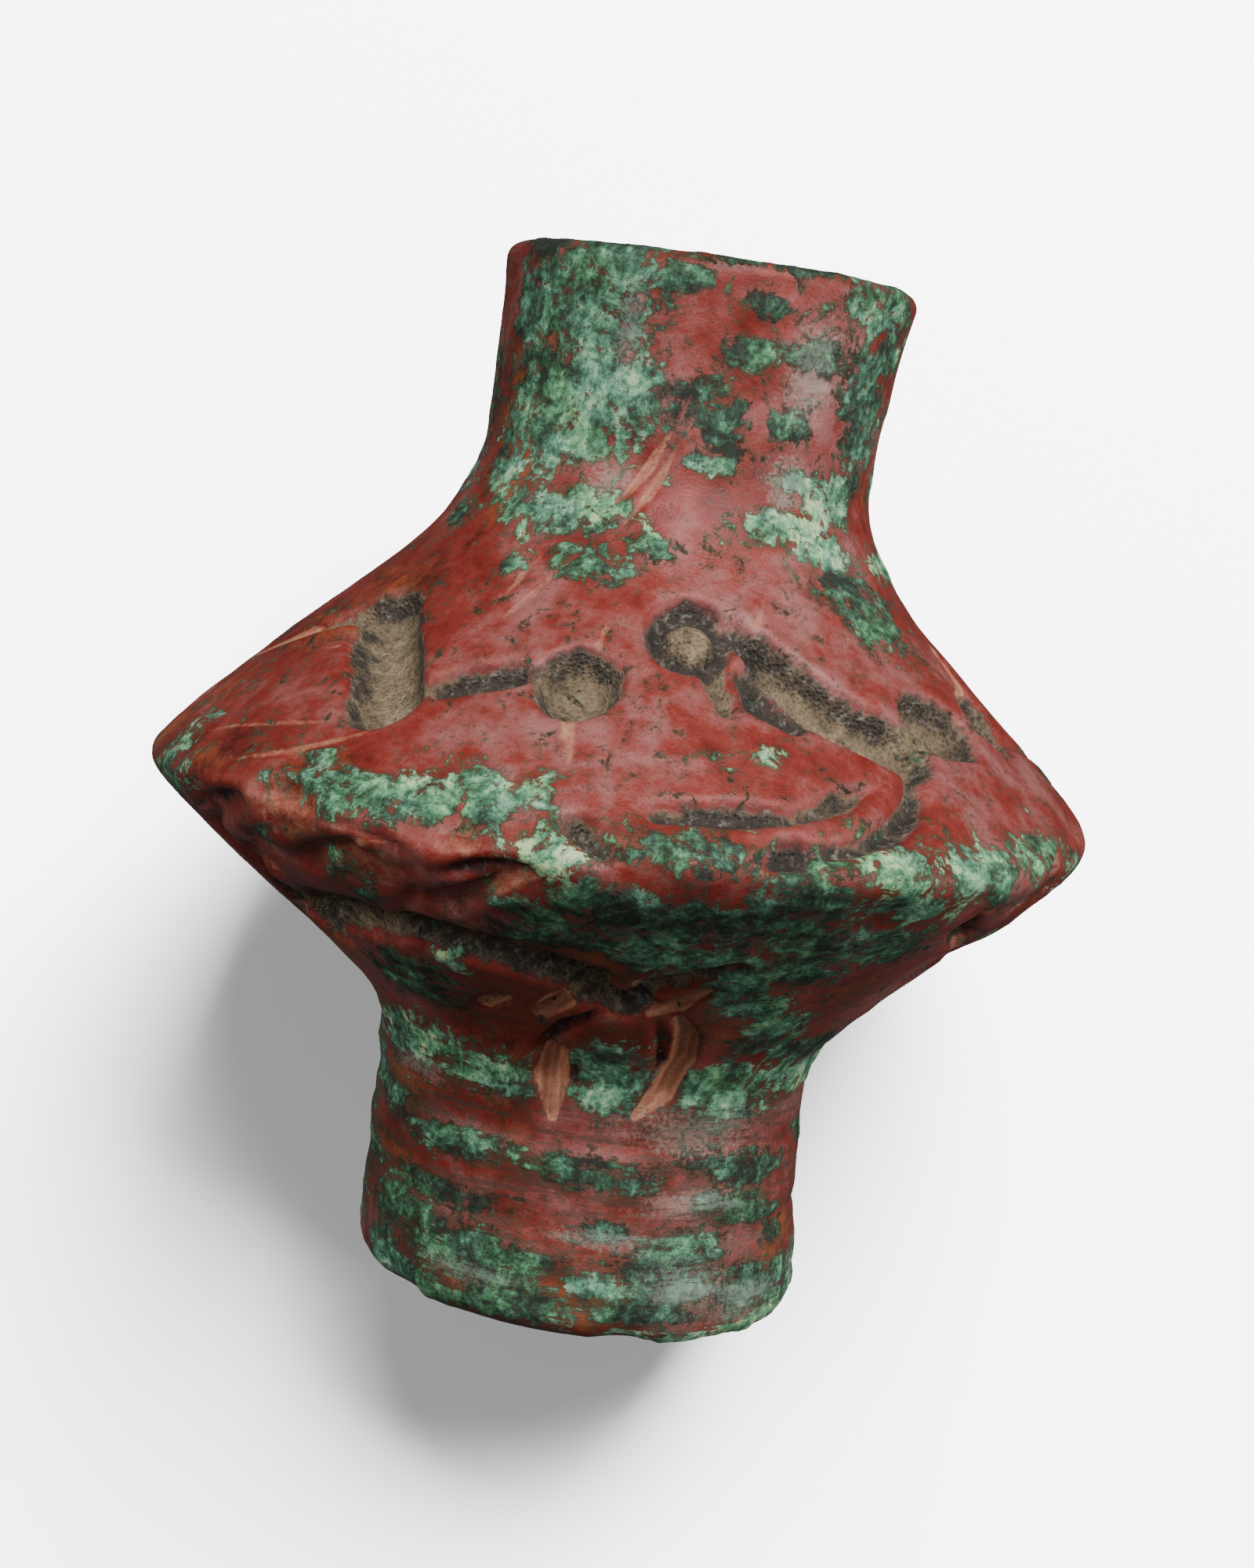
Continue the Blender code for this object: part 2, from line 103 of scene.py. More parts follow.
wide_height, wide_radius = half_outline(WIDE, GROOVES)
narrow_height, narrow_radius = half_outline(NARROW)
HEIGHT = np.r_[-wide_height[:0:-1], narrow_height]
RADIUS = np.r_[wide_radius[:0:-1], narrow_radius]
ARC = np.r_[0.0, np.cumsum(np.hypot(np.diff(HEIGHT), np.diff(RADIUS)))]
ARC -= ARC[len(wide_height) - 1]
NARROW_SLOPE = math.hypot(NARROW.cone, RIDGE_RADIUS - NARROW.radius)
WIDE_SLOPE = math.hypot(WIDE.cone, RIDGE_RADIUS - WIDE.radius)
print("outline from pole to pole, mm:", round(ARC[-1] - ARC[0], 2))

# %% [markdown]
# ## The grid
#
# The columns go round and the rows go along the outline. A cut half a millimetre wide needs
# four or five rows across it, so the rows on the cones are about a tenth of a millimetre
# apart. The necks carry only crust and the ends are flat, so they make do with fewer. That
# keeps the whole skin under two hundred thousand triangles.

# %% Rows and columns
COLUMNS = 376
CONE_STEP, NECK_STEP, RIM_STEP, FACE_STEP = 0.112, 0.16, 0.09, 0.45


def spaced(first, last, step):
    """Evenly spaced numbers from the first up to, but not with, the last."""
    return np.linspace(first, last, math.ceil((last - first) / step), endpoint=False)


wide_face = ARC[0] + wide_radius[RIM_END]
narrow_face = ARC[-1] - narrow_radius[RIM_END]
wide_rim = wide_face + WIDE.rounding * math.pi / 2
narrow_rim = narrow_face - NARROW.rounding * math.pi / 2
# The fine rows run a little way onto each neck, as the horns do.
fine_from, fine_to = -WIDE_SLOPE - 0.6, NARROW_SLOPE + 0.4
rows = np.concatenate([
    spaced(ARC[0], wide_face, FACE_STEP),
    spaced(wide_face, wide_rim, RIM_STEP),
    spaced(wide_rim, fine_from, NECK_STEP),
    spaced(fine_from, fine_to, CONE_STEP),
    spaced(fine_to, narrow_rim, NECK_STEP),
    spaced(narrow_rim, narrow_face, RIM_STEP),
    spaced(narrow_face, ARC[-1], FACE_STEP),
    [ARC[-1]],
])
angles = 2 * math.pi * np.arange(COLUMNS) / COLUMNS
around, arc = np.meshgrid(angles, rows)
local_radius = np.interp(arc, ARC, RADIUS)
print("rows and columns:", arc.shape, "triangles:", 2 * (len(rows) - 2) * COLUMNS)

# %% [markdown]
# ## The hand-made body
#
# Nothing about the real seal is quite true. The ridge's circle is off centre and leans, the
# axis bows a little to one side, and the back of the narrow end is broken away along a slope.
# Each of these is a small move of every point, and the solid has them too.

# %% From true to hand-made
RIDGE_SHIFT, RIDGE_SHIFT_TOWARDS = 0.5, math.radians(-20)
RIDGE_LEAN, RIDGE_LEAN_TOWARDS = 0.3, math.radians(115)
RIDGE_WAVE, RIDGE_WAVES = 0.12, 5
BOW, BOW_TOWARDS = 0.55, math.radians(136)
CHIP_TOWARDS, CHIP_START, CHIP_SLOPE = math.radians(170), 1.2, math.radians(29)


def towards(angle):
    """The sideways and forward steps of a unit move at an angle round the seal."""
    return math.sin(angle), -math.cos(angle)


def hand_made(around, arc):
    """Points of the skin before any relief.

    A turned point is moved by its share of the ridge's shift, lean and wave, which fades to
    nothing at the necks, and by the bow, which grows as the square of the height. Past the
    start of the chip, the narrow neck is squeezed down to the chip's slope."""
    radius, height = np.interp(arc, ARC, RADIUS), np.interp(arc, ARC, HEIGHT)
    share = np.clip((radius - WIDE.radius) / (RIDGE_RADIUS - WIDE.radius), 0.0, 1.0)
    share *= np.abs(height) < WIDE.cone + WIDE.neck / 2
    length = NARROW.cone + NARROW.neck
    bow = BOW * (height / length) ** 2
    lean = RIDGE_LEAN * np.cos(around - RIDGE_LEAN_TOWARDS)
    wave = RIDGE_WAVE * np.sin(RIDGE_WAVES * around) * share**2
    shift_x, shift_y = towards(RIDGE_SHIFT_TOWARDS)
    bow_x, bow_y = towards(BOW_TOWARDS)
    x = radius * np.sin(around) + share * RIDGE_SHIFT * shift_x + bow * bow_x
    y = -radius * np.cos(around) + share * RIDGE_SHIFT * shift_y + bow * bow_y
    chip_x, chip_y = towards(CHIP_TOWARDS)
    past = np.maximum(x * chip_x + y * chip_y - CHIP_START, 0.0) * math.tan(CHIP_SLOPE)
    squeeze = np.clip((height - NARROW.cone) / NARROW.neck, 0.0, 1.0) ** 2
    z = height + share * (lean + wave) - past * squeeze
    return np.stack([x, y, z], axis=-1)


def skin_normal(around, arc):
    """The way out of the skin, from the steps to its neighbours round and along the body."""
    turn, step = 2e-3, 0.02
    across = hand_made(around + turn, arc) - hand_made(around - turn, arc)
    along = hand_made(around, arc + step) - hand_made(around, arc - step)
    normal = np.cross(across, along)
    return normal / np.maximum(np.linalg.norm(normal, axis=-1, keepdims=True), 1e-12)


POLE_GAP = 0.05
body = hand_made(around, arc)
normal = skin_normal(around, np.clip(arc, ARC[0] + POLE_GAP, ARC[-1] - POLE_GAP))
print("blank, mm:", np.ptp(body.reshape(-1, 3), axis=0).round(2))

# %% [markdown]
# ## Chance that repeats
#
# Crust, dents and grit need a random pattern that is the same on every run. The corners of a
# lattice of cubes each get a height from a scramble of their three whole numbers, and a point
# between them blends the eight nearest. Several lattices, each finer and fainter, add up to a
# natural roughness.

# %% Lattice noise
# Large odd numbers stir the bits well. One belongs to each axis, one to the seed, and two
# more scramble the sum.
AXIS_STIR = np.array([73856093, 19349663, 83492791])
SEED_STIR, FIRST_STIR, SECOND_STIR = 2654435761, 2246822519, 3266489917
LOW_BITS, LOWER_BITS = 0xFFFFFFFF, 0xFFFF
AWAY_FROM_ZERO = 4096.0
SEED_STEP = 31


def lattice_noise(point, cell, seed):
    """Heights from -1 to 1, blended smoothly between random values at cube corners."""
    place = point / cell + AWAY_FROM_ZERO
    corner = np.floor(place).astype(np.int64)
    share = place - corner
    share = share * share * (3.0 - 2.0 * share)
    total = np.zeros(point.shape[:-1])
    for corner_number in range(8):
        step = np.array([corner_number & 1, corner_number >> 1 & 1, corner_number >> 2])
        whole = (corner + step) * AXIS_STIR
        mixed = (whole[..., 0] ^ whole[..., 1] ^ whole[..., 2] ^ (seed * SEED_STIR)) & LOW_BITS
        mixed = (mixed ^ (mixed >> 15)) * FIRST_STIR & LOW_BITS
        mixed = (mixed ^ (mixed >> 13)) * SECOND_STIR & LOW_BITS
        height = (mixed >> 8 & LOWER_BITS) / (LOWER_BITS / 2) - 1.0
        total += height * np.prod(np.where(step, share, 1.0 - share), axis=-1)
    return total


def rough_noise(point, cell, seed, layers=3):
    """Lattice noises added up, each half as wide and half as high as the one before."""
    return sum(
        lattice_noise(point, cell / 2**layer, seed + SEED_STEP * layer) / 2**layer
        for layer in range(layers)
    ) / (2.0 - 2.0 ** (1 - layers))


def smooth_step(value, low, high):
    """0 below low, 1 above high, and an S-shaped rise between them."""
    share = np.clip((value - low) / (high - low), 0.0, 1.0)
    return share * share * (3.0 - 2.0 * share)


def turn_from(angle):
    """How far each point of the grid is turned from an angle, the short way, in radians."""
    return (around - angle + math.pi) % (2 * math.pi) - math.pi


print("a noise of 1 mm cells runs from", round(float(lattice_noise(body, 1.0, seed=1).min()), 2))

# %% [markdown]
# ## The beasts
#
# The engraver worked with two tools. A drill sank the round pits of haunch, belly, neck and
# head, often side by side until they joined, and a hollow drill left the rings with a knob in
# the middle. A graver then cut legs, tails and horns in single strokes that end in a point.
#
# Each cut below is a path. A step gives the angle round the seal in degrees, the height above
# the ridge in hundredths of the cone's slope, and half the width in millimetres. The beasts
# that the photo shows keep their places from it, and the others follow their prints in clay.

# %% How each tool cuts
# The depth at the middle, the width of the wall below the rim, how far the floor rises from
# the middle to the wall, how much grit the cut shows, how much lighter copper it shows, partly
# bare metal and partly painted light on its walls, and how much black it shows, partly dirt and
# partly painted shade. Black past 1 stays black where noise thins it.
Tool = namedtuple("Tool", "depth wall bowl grit clean dirt")
DRILL = Tool(depth=0.76, wall=0.36, bowl=0.35, grit=1.0, clean=0.0, dirt=0.0)
GOUGE = Tool(depth=0.52, wall=0.28, bowl=0.55, grit=0.8, clean=0.1, dirt=0.35)
BORER = Tool(depth=0.56, wall=0.18, bowl=0.40, grit=0.8, clean=0.0, dirt=1.15)
GRAVER = Tool(depth=0.34, wall=0.18, bowl=0.8, grit=0.0, clean=1.0, dirt=0.0)
NEEDLE = Tool(depth=0.12, wall=0.12, bowl=1.0, grit=0.0, clean=0.6, dirt=0.0)
NICK = Tool(depth=0.38, wall=0.20, bowl=1.0, grit=0.15, clean=0.3, dirt=0.4)
CREASE = Tool(depth=0.46, wall=0.14, bowl=0.9, grit=0.0, clean=0.0, dirt=1.0)
RUT = Tool(depth=0.50, wall=0.15, bowl=0.6, grit=0.90, clean=0.0, dirt=1.15)
SCAR = Tool(depth=0.85, wall=0.34, bowl=0.8, grit=0.0, clean=0.55, dirt=0.25)
KNOB = Tool(depth=0.14, wall=0.10, bowl=0.0, grit=0.9, clean=0.0, dirt=0.0)
RING_POINTS = 17
cuts = []


def cut(tool, side, *steps):
    """Notes a cut. Side is 1 for the narrow neck's cone and -1 for the wide neck's."""
    path = np.array(steps, float)
    slope = NARROW_SLOPE if side > 0 else WIDE_SLOPE
    path[:, 0] = np.radians(path[:, 0])
    path[:, 1] *= side * slope / 100.0
    cuts.append((tool, path))


def ring(side, angle, rise, radius, half_width):
    """Notes the ring of a hollow drill, a path right round a circle, and the knob inside it."""
    slope = NARROW_SLOPE if side > 0 else WIDE_SLOPE
    arc = side * rise * slope / 100.0
    turn = np.linspace(0.0, 2 * math.pi, RING_POINTS)
    path = np.stack([
        math.radians(angle) + radius * np.cos(turn) / np.interp(arc, ARC, RADIUS),
        arc + radius * np.sin(turn),
        np.full(RING_POINTS, half_width),
    ], axis=-1)
    cuts.append((BORER, path))
    cuts.append((KNOB, np.array([[math.radians(angle), arc, radius]] * 2)))


# %% [markdown]
# The narrow neck's cone carries four beasts, all on the same line. The two that run left
# across the front are a goat with a bent neck and a larger one whose head is a ring.

# %% The goat at the front
cut(DRILL, 1, (-36.8, 36, 0.98), (-42, 46, 0.86), (-54, 60, 0.86))
cut(GOUGE, 1, (-50, 66, 0.34), (-61, 57, 0.46), (-68, 49, 0.20))
cut(GRAVER, 1, (-64, 53, 0.20), (-72, 44, 0.22), (-82, 34, 0.08))
cut(CREASE, 1, (-49, 51, 0.05), (-57, 50, 0.18), (-65, 44, 0.14), (-75, 35, 0.05))
cut(NEEDLE, 1, (-59, 43, 0.05), (-56, 45, 0.10), (-52, 47, 0.05))
cut(RUT, 1, (-29, 42, 0.38), (-24, 46, 0.42), (-19, 49, 0.38))
cut(DRILL, 1, (-9.2, 49, 1.0), (-9.0, 49, 1.0))
cut(NEEDLE, 1, (-8, 59, 0.16), (-7, 70, 0.06))
cut(NEEDLE, 1, (-8.5, 38, 0.26), (-6, 22, 0.05))
cut(CREASE, 1, (-11.5, 38, 0.07), (-9.3, 28, 0.09), (-6.5, 21, 0.04))
cut(RUT, 1, (-3.5, 9, 0.36), (-0.5, 3, 0.26))
cut(NEEDLE, 1, (-32, 27, 0.05), (-37.5, 20, 0.13), (-44.5, 11.5, 0.12), (-50, 6, 0.05))
cut(NEEDLE, 1, (-37, 27, 0.05), (-45, 22, 0.10), (-56, 15, 0.10), (-62, 10, 0.05))
cut(NICK, 1, (-41, 12.5, 0.20), (-38, 13, 0.24))
cut(NEEDLE, 1, (-28, 62, 0.06), (-25, 72, 0.14), (-21, 84, 0.05))
cut(NEEDLE, 1, (-31, 66, 0.05), (-29, 78, 0.12), (-27, 88, 0.05))
cut(BORER, 1, (-24, 116, 0.05), (-18, 118, 0.14), (-11, 116, 0.05))
cut(NEEDLE, 1, (-3, 122, 0.05), (-8, 112, 0.20), (-16, 99, 0.08))
cut(NEEDLE, 1, (-1, 118, 0.05), (-5, 108, 0.18), (-11, 96, 0.06))

# %% The beast whose head is a ring
ring(1, 7.6, 67, 0.72, 0.31)
cut(DRILL, 1, (20, 66, 0.50), (24.3, 57, 0.68), (32, 46, 0.78), (42.5, 37, 0.8))
cut(BORER, 1, (17, 71, 0.3), (19.5, 64, 0.36))
cut(NEEDLE, 1, (21, 72, 0.14), (24, 82, 0.05))
cut(GOUGE, 1, (11.5, 58, 0.4), (13.5, 46, 0.28))
cut(BORER, 1, (17.5, 57, 0.3), (18.5, 49, 0.38), (24, 43, 0.3))
cut(DRILL, 1, (52, 45, 0.95), (57, 43, 0.9))
cut(DRILL, 1, (73.7, 43, 1.05), (74, 43, 1.05))
cut(GRAVER, 1, (76, 52, 0.34), (80.5, 66, 0.26), (81, 72, 0.1))
cut(NICK, 1, (79, 36, 0.26), (92, 22, 0.18), (80, 9, 0.24))
cut(RUT, 1, (31.5, 24.5, 0.18), (28, 22, 0.34), (20, 15.5, 0.20), (14, 15.5, 0.34), (4.5, 14.5, 0.28))
cut(RUT, 1, (41, 30, 0.22), (39.5, 22.5, 0.32), (35, 15.5, 0.34), (29.5, 10, 0.24), (24, 6.5, 0.24))
cut(BORER, 1, (20, 5.5, 0.46), (18.5, 4.5, 0.40))

# %% The lion with a raised tail, and the small goat behind it
cut(DRILL, 1, (118, 48, 1.25), (119, 48, 1.25))
cut(GOUGE, 1, (131, 42, 0.85), (142, 38, 0.85))
cut(DRILL, 1, (146.6, 33, 0.85), (152.3, 46, 0.95), (163.8, 55, 0.75))
ring(1, 181, 57, 0.62, 0.3)
cut(GOUGE, 1, (172, 50, 0.45), (189.5, 42, 0.36), (199, 34, 0.18))
cut(NICK, 1, (146.6, 28, 0.3), (151, 18, 0.26), (158, 11, 0.26), (171, 5, 0.34))
cut(NICK, 1, (164, 24, 0.28), (179.5, 12, 0.24), (182, 7, 0.32))
cut(GRAVER, 1, (108, 46, 0.28), (108, 60, 0.28), (114, 64, 0.26), (126, 61, 0.26), (134, 63, 0.26),
    (142, 75, 0.24), (139.5, 84, 0.22), (132, 84, 0.18), (123, 75, 0.1))
cut(NICK, 1, (111, 34, 0.34), (102.3, 15, 0.22), (106, 8, 0.32))
cut(NICK, 1, (118, 25, 0.28), (111, 9, 0.32))
cut(DRILL, 1, (-98.3, 49, 0.95), (-98, 49, 0.95))
cut(GOUGE, 1, (-106, 43, 0.6), (-111, 41, 0.6))
cut(DRILL, 1, (-121.5, 35, 0.85), (-129, 49, 0.8))
ring(1, -136.5, 61, 0.52, 0.28)
cut(GRAVER, 1, (-139, 69, 0.2), (-144, 84, 0.16), (-148, 91, 0.06))
cut(GRAVER, 1, (-130, 66, 0.18), (-124, 72, 0.06))
cut(GOUGE, 1, (-139, 48, 0.42), (-141, 40, 0.32))
cut(NICK, 1, (-117.5, 24, 0.26), (-122, 12, 0.24), (-133, 5, 0.32))
cut(NICK, 1, (-131, 24, 0.24), (-143, 12, 0.30))
cut(NICK, 1, (-150, 8, 0.4), (-153, 4, 0.2))
cut(GRAVER, 1, (-93, 53, 0.28), (-88, 62, 0.2))
cut(NICK, 1, (-92, 37, 0.32), (-81, 18, 0.22), (-84, 5, 0.30))
print("cuts on the narrow neck's cone:", len(cuts))

# %% [markdown]
# The wide neck's cone carries three, and its horned beasts have the finest strokes on the
# seal: pairs of horns that run up onto the neck.

# %% The beast with straight horns
cut(DRILL, -1, (-56, 54, 1.0), (-54, 54, 1.0))
cut(GOUGE, -1, (-44, 46, 0.8), (-33, 43, 0.8))
cut(DRILL, -1, (-24, 42, 0.85), (-12, 46, 0.82), (-2, 53, 0.66))
cut(DRILL, -1, (-1, 63, 0.6), (6, 66, 0.62))
cut(GOUGE, -1, (8.4, 55, 0.5), (18.7, 41, 0.3))
cut(GRAVER, -1, (-1.7, 60, 0.20), (-5.7, 67, 0.36), (-10.5, 77, 0.22))
cut(CREASE, -1, (2, 69, 0.10), (-5, 81, 0.24), (-12.7, 96, 0.14))
cut(GRAVER, -1, (-8.2, 96, 0.30), (-9.5, 105, 0.42), (-8.5, 117, 0.14))
cut(CREASE, -1, (-3.5, 97, 0.06), (-3.6, 106, 0.16), (-2, 113, 0.06))
cut(GRAVER, -1, (18, 52, 0.12), (13.8, 63, 0.28), (9.5, 70, 0.16))
cut(GRAVER, -1, (15, 70, 0.14), (19, 82, 0.30), (21, 94, 0.34), (18.5, 106, 0.30), (12, 114, 0.12))
cut(CREASE, -1, (11, 71, 0.08), (14.7, 86, 0.18), (16.3, 98, 0.18), (13, 108, 0.06))
cut(NICK, -1, (-3, 107, 0.06), (3, 104, 0.14), (9, 107, 0.06))
cut(GRAVER, -1, (-21, 76, 0.24), (-16, 70, 0.16))
cut(GRAVER, -1, (-64, 57, 0.26), (-71, 66, 0.16))
cut(NICK, -1, (-58, 40, 0.34), (-61, 20, 0.24), (-46, 3, 0.36))
cut(NICK, -1, (-39, 20, 0.46), (-27, 1, 0.16))
cut(NICK, -1, (-24, 3, 0.1), (-22.2, 19, 0.2), (-26, 30, 0.1))
cut(NICK, -1, (-19, 22, 0.46), (-8, 2.5, 0.2))

# %% The beast with waved horns
cut(DRILL, -1, (66, 48, 1.06), (66.4, 48, 1.06))
cut(RUT, -1, (86.5, 41, 0.36), (82, 44, 0.44), (77.5, 47, 0.40))
cut(DRILL, -1, (95, 36, 0.86), (102, 46, 0.78), (109.7, 57, 0.8))
cut(GOUGE, -1, (106.5, 62, 0.5), (102.5, 73, 0.36))
cut(GOUGE, -1, (112, 60, 0.62), (121, 57, 0.48), (128.7, 47, 0.32))
cut(GRAVER, -1, (127, 50, 0.3), (135, 34, 0.1))
cut(GRAVER, -1, (128, 113, 0.10), (122, 107, 0.18), (118.5, 99, 0.22), (119, 88, 0.24), (122, 78, 0.26),
    (123, 70, 0.2))
cut(CREASE, -1, (116, 106, 0.06), (113, 98, 0.13), (113.5, 86, 0.14), (117, 74, 0.12))
cut(GRAVER, -1, (112, 109, 0.08), (108, 102, 0.18), (106.5, 94, 0.24), (109, 84, 0.26), (112, 72, 0.2))
cut(CREASE, -1, (104, 104, 0.05), (101, 96, 0.11), (103, 86, 0.11), (106, 78, 0.06))
cut(NEEDLE, -1, (101, 107, 0.05), (97.5, 98, 0.11), (99, 88, 0.06))
cut(CREASE, -1, (124, 46, 0.05), (129, 37, 0.14), (134, 33, 0.10))
cut(GRAVER, -1, (62, 38, 0.12), (57, 31, 0.22), (50, 21, 0.24), (51.5, 12, 0.28))
cut(CREASE, -1, (63, 33, 0.05), (57, 25, 0.12), (52.5, 21, 0.05))
cut(NEEDLE, -1, (92, 26, 0.06), (103, 14, 0.17), (112, 7, 0.15))
cut(CREASE, -1, (93, 24, 0.04), (103, 11.5, 0.09), (109, 6, 0.06))
cut(NEEDLE, -1, (104, 20, 0.06), (112, 10, 0.16), (118, 3, 0.14))
cut(CREASE, -1, (106, 16, 0.04), (112, 7.5, 0.10), (117, 2, 0.06))
cut(GOUGE, -1, (111.5, 5.5, 0.2), (112, 5.5, 0.2))
cut(NICK, -1, (133, 40, 0.3), (136, 37, 0.12))

# %% The lion with a hanging tail
cut(DRILL, -1, (189, 54, 1.12), (190, 54, 1.12))
cut(GOUGE, -1, (203, 47, 0.85), (217, 44, 0.85))
cut(DRILL, -1, (227.6, 40, 0.9), (241.5, 54, 0.9))
cut(GOUGE, -1, (245, 56, 0.75), (255, 54, 0.7), (263, 48, 0.5))
cut(NICK, -1, (250, 62, 0.4), (258, 66, 0.3))
cut(GRAVER, -1, (181, 57, 0.28), (172, 55, 0.28), (169, 47, 0.28), (171, 34, 0.28), (168, 22, 0.28),
    (165.4, 9, 0.2))
cut(NICK, -1, (184, 42, 0.34), (179.7, 20, 0.26), (200, 10, 0.38))
cut(NICK, -1, (218, 29, 0.28), (226.5, 8, 0.24), (220, 0, 0.28))
cut(NICK, -1, (229, 24, 0.26), (248, 7, 0.34))

# %% Cracks and notches where the ridge was knocked
# The black in these cracks is partly dirt and partly painted shade; the crack from -34 to -20 degrees stands
# for the shadow under the ridge's edge.
cut(CREASE, 1, (-60, -11.5, 0.10), (-50, -3.7, 0.26), (-45, 2, 0.08))
cut(CREASE, 1, (-43, 1.5, 0.07), (-39, 6, 0.13))
cut(CREASE, 1, (-34, 0.5, 0.05), (-29, 0.5, 0.12), (-24.5, 0, 0.16), (-21.5, -3, 0.14), (-20.5, -13, 0.05))
cut(CREASE, 1, (-17.5, -6.5, 0.12), (-13, -3.5, 0.34), (-9, -1.5, 0.12))
cut(CREASE, 1, (-58, -16, 0.08), (-56, -25, 0.20), (-57.5, -35, 0.10))
cut(CREASE, 1, (-20, 8, 0.06), (-17.2, 10.8, 0.13), (-14, 11.5, 0.06))
cut(SCAR, 1, (64.5, 4, 0.20), (62.5, -2, 0.42), (60, -9, 0.50))
cut(CREASE, 1, (67, 3, 0.14), (66, -4, 0.24), (64, -12, 0.14))
cut(RUT, 1, (51, -14, 0.24), (52, -20, 0.30))
# This hole's black is painted shadow in a deep hole.
cut(BORER, 1, (52.5, -22, 0.30), (55, -25, 0.34))
cut(CREASE, 1, (98, -6, 0.06), (103, -3, 0.16), (110, -5, 0.06))
cut(NEEDLE, 1, (-35, -11.5, 0.06), (-29, -4.5, 0.16), (-23.5, -0.5, 0.06))
cut(NEEDLE, 1, (-16, -16.5, 0.08), (-11.2, -9.5, 0.22), (-6.5, -4, 0.08))
print("cuts in all:", len(cuts))

# %% [markdown]
# ## Carving the grid
#
# A cut's depth falls from its middle line to its edge, and how it falls is what tells a drill
# from a graver. A drill's wall is steep and its floor broad, and a graver leaves a hollow.
# Where cuts overlap the deepest one wins, which leaves the sharp creases where pits meet.

# %% Depth of every cut
FAR_OFF = 99.0


def soften(field):
    """Each point's mean with its neighbours, round the seal and then along it.

    The shares are a quarter, a half and a quarter, which rounds what is finer than the grid."""
    field = (2 * field + np.roll(field, 1, axis=1) + np.roll(field, -1, axis=1)) / 4
    inner = (2 * field[1:-1] + field[:-2] + field[2:]) / 4
    return np.concatenate([field[:1], inner, field[-1:]])


def nearest_on_path(path):
    """Distance to a path and the path's half width there, for every point of the grid.

    Each straight piece of the path is met at its nearest point, measured round the seal with
    the local radius and along the outline, and the piece that is nearest for its width wins."""
    best_share = np.full(arc.shape, FAR_OFF)
    best_width = np.ones(arc.shape)
    for (a0, s0, w0), (a1, s1, w1) in zip(path[:-1], path[1:]):
        x, y = turn_from(a0) * local_radius, arc - s0
        end_x, end_y = (a1 - a0) * local_radius, s1 - s0
        way = np.clip((x * end_x + y * end_y) / (end_x**2 + end_y**2 + 1e-9), 0.0, 1.0)
        width = w0 + way * (w1 - w0)
        share = np.hypot(x - way * end_x, y - way * end_y) / width
        closer = share < best_share
        best_share = np.where(closer, share, best_share)
        best_width = np.where(closer, width, best_width)
    return best_share, best_width


# Where each look begins and is full, in millimetres inwards from a cut's edge.
WALL_STARTS, GRIT_FULL, DIRT_AND_SHADE_FULL = -0.04, 0.16, 0.14
BARE_AND_LIT_STARTS, BARE_AND_LIT_FULL = -0.06, 0.10
# Every cut, and a deep one most of all, also gets a dark line just below its edge, partly dirt and partly
# painted shade under the rim.
LINE_PLACE, LINE_WIDTH, LINE_STRENGTH = 0.08, 0.10, 0.7

unevenness = 1.0 + 0.10 * rough_noise(body, 0.9, seed=11)
carved, grit, clean, dirt = np.zeros((4, *arc.shape))
off_line = np.ones(arc.shape)
for tool, path in cuts:
    share, width = nearest_on_path(path)
    share = share * unevenness
    inwards = (1.0 - share) * width
    depth = tool.depth * (1.0 - tool.bowl * np.minimum(share, 1.0) ** 2)
    # A narrow cut doesn't reach the tool's full depth.
    depth = depth * np.minimum(1.0, 0.5 + 0.9 * width)
    carved = np.maximum(carved, depth * smooth_step(inwards, WALL_STARTS, tool.wall))
    grit = np.maximum(grit, tool.grit * smooth_step(inwards, 0.0, GRIT_FULL))
    # Lighter copper in the cut: partly bare metal and partly painted light on its walls.
    clean = np.maximum(clean, tool.clean * smooth_step(inwards, BARE_AND_LIT_STARTS, BARE_AND_LIT_FULL))
    line = np.exp(-(((inwards - LINE_PLACE) / LINE_WIDTH) ** 2)) * min(1.0, 1.6 * tool.depth)
    dirt = np.maximum(dirt, LINE_STRENGTH * line)
    dirt = np.maximum(dirt, tool.dirt * smooth_step(inwards, 0.0, DIRT_AND_SHADE_FULL))
    off_line = np.where(inwards > -0.1, np.minimum(off_line, share * width), off_line)
carved = soften(carved)
clean *= 1.0 - grit
print("deepest cut, mm:", round(float(carved.max()), 2))

# %% [markdown]
# ## Knocks, wear and turning marks
#
# A ridge that has been rolled, dropped and buried is worn and chipped. A knock is a smooth
# dish, and a chip is a slanted facet with one steep side. The chips on the side that the
# photo does not show are placed by chance. The wide neck also keeps fine lines from the tool
# that dressed it, so a noise that is long round the seal and very short along it roughens it.

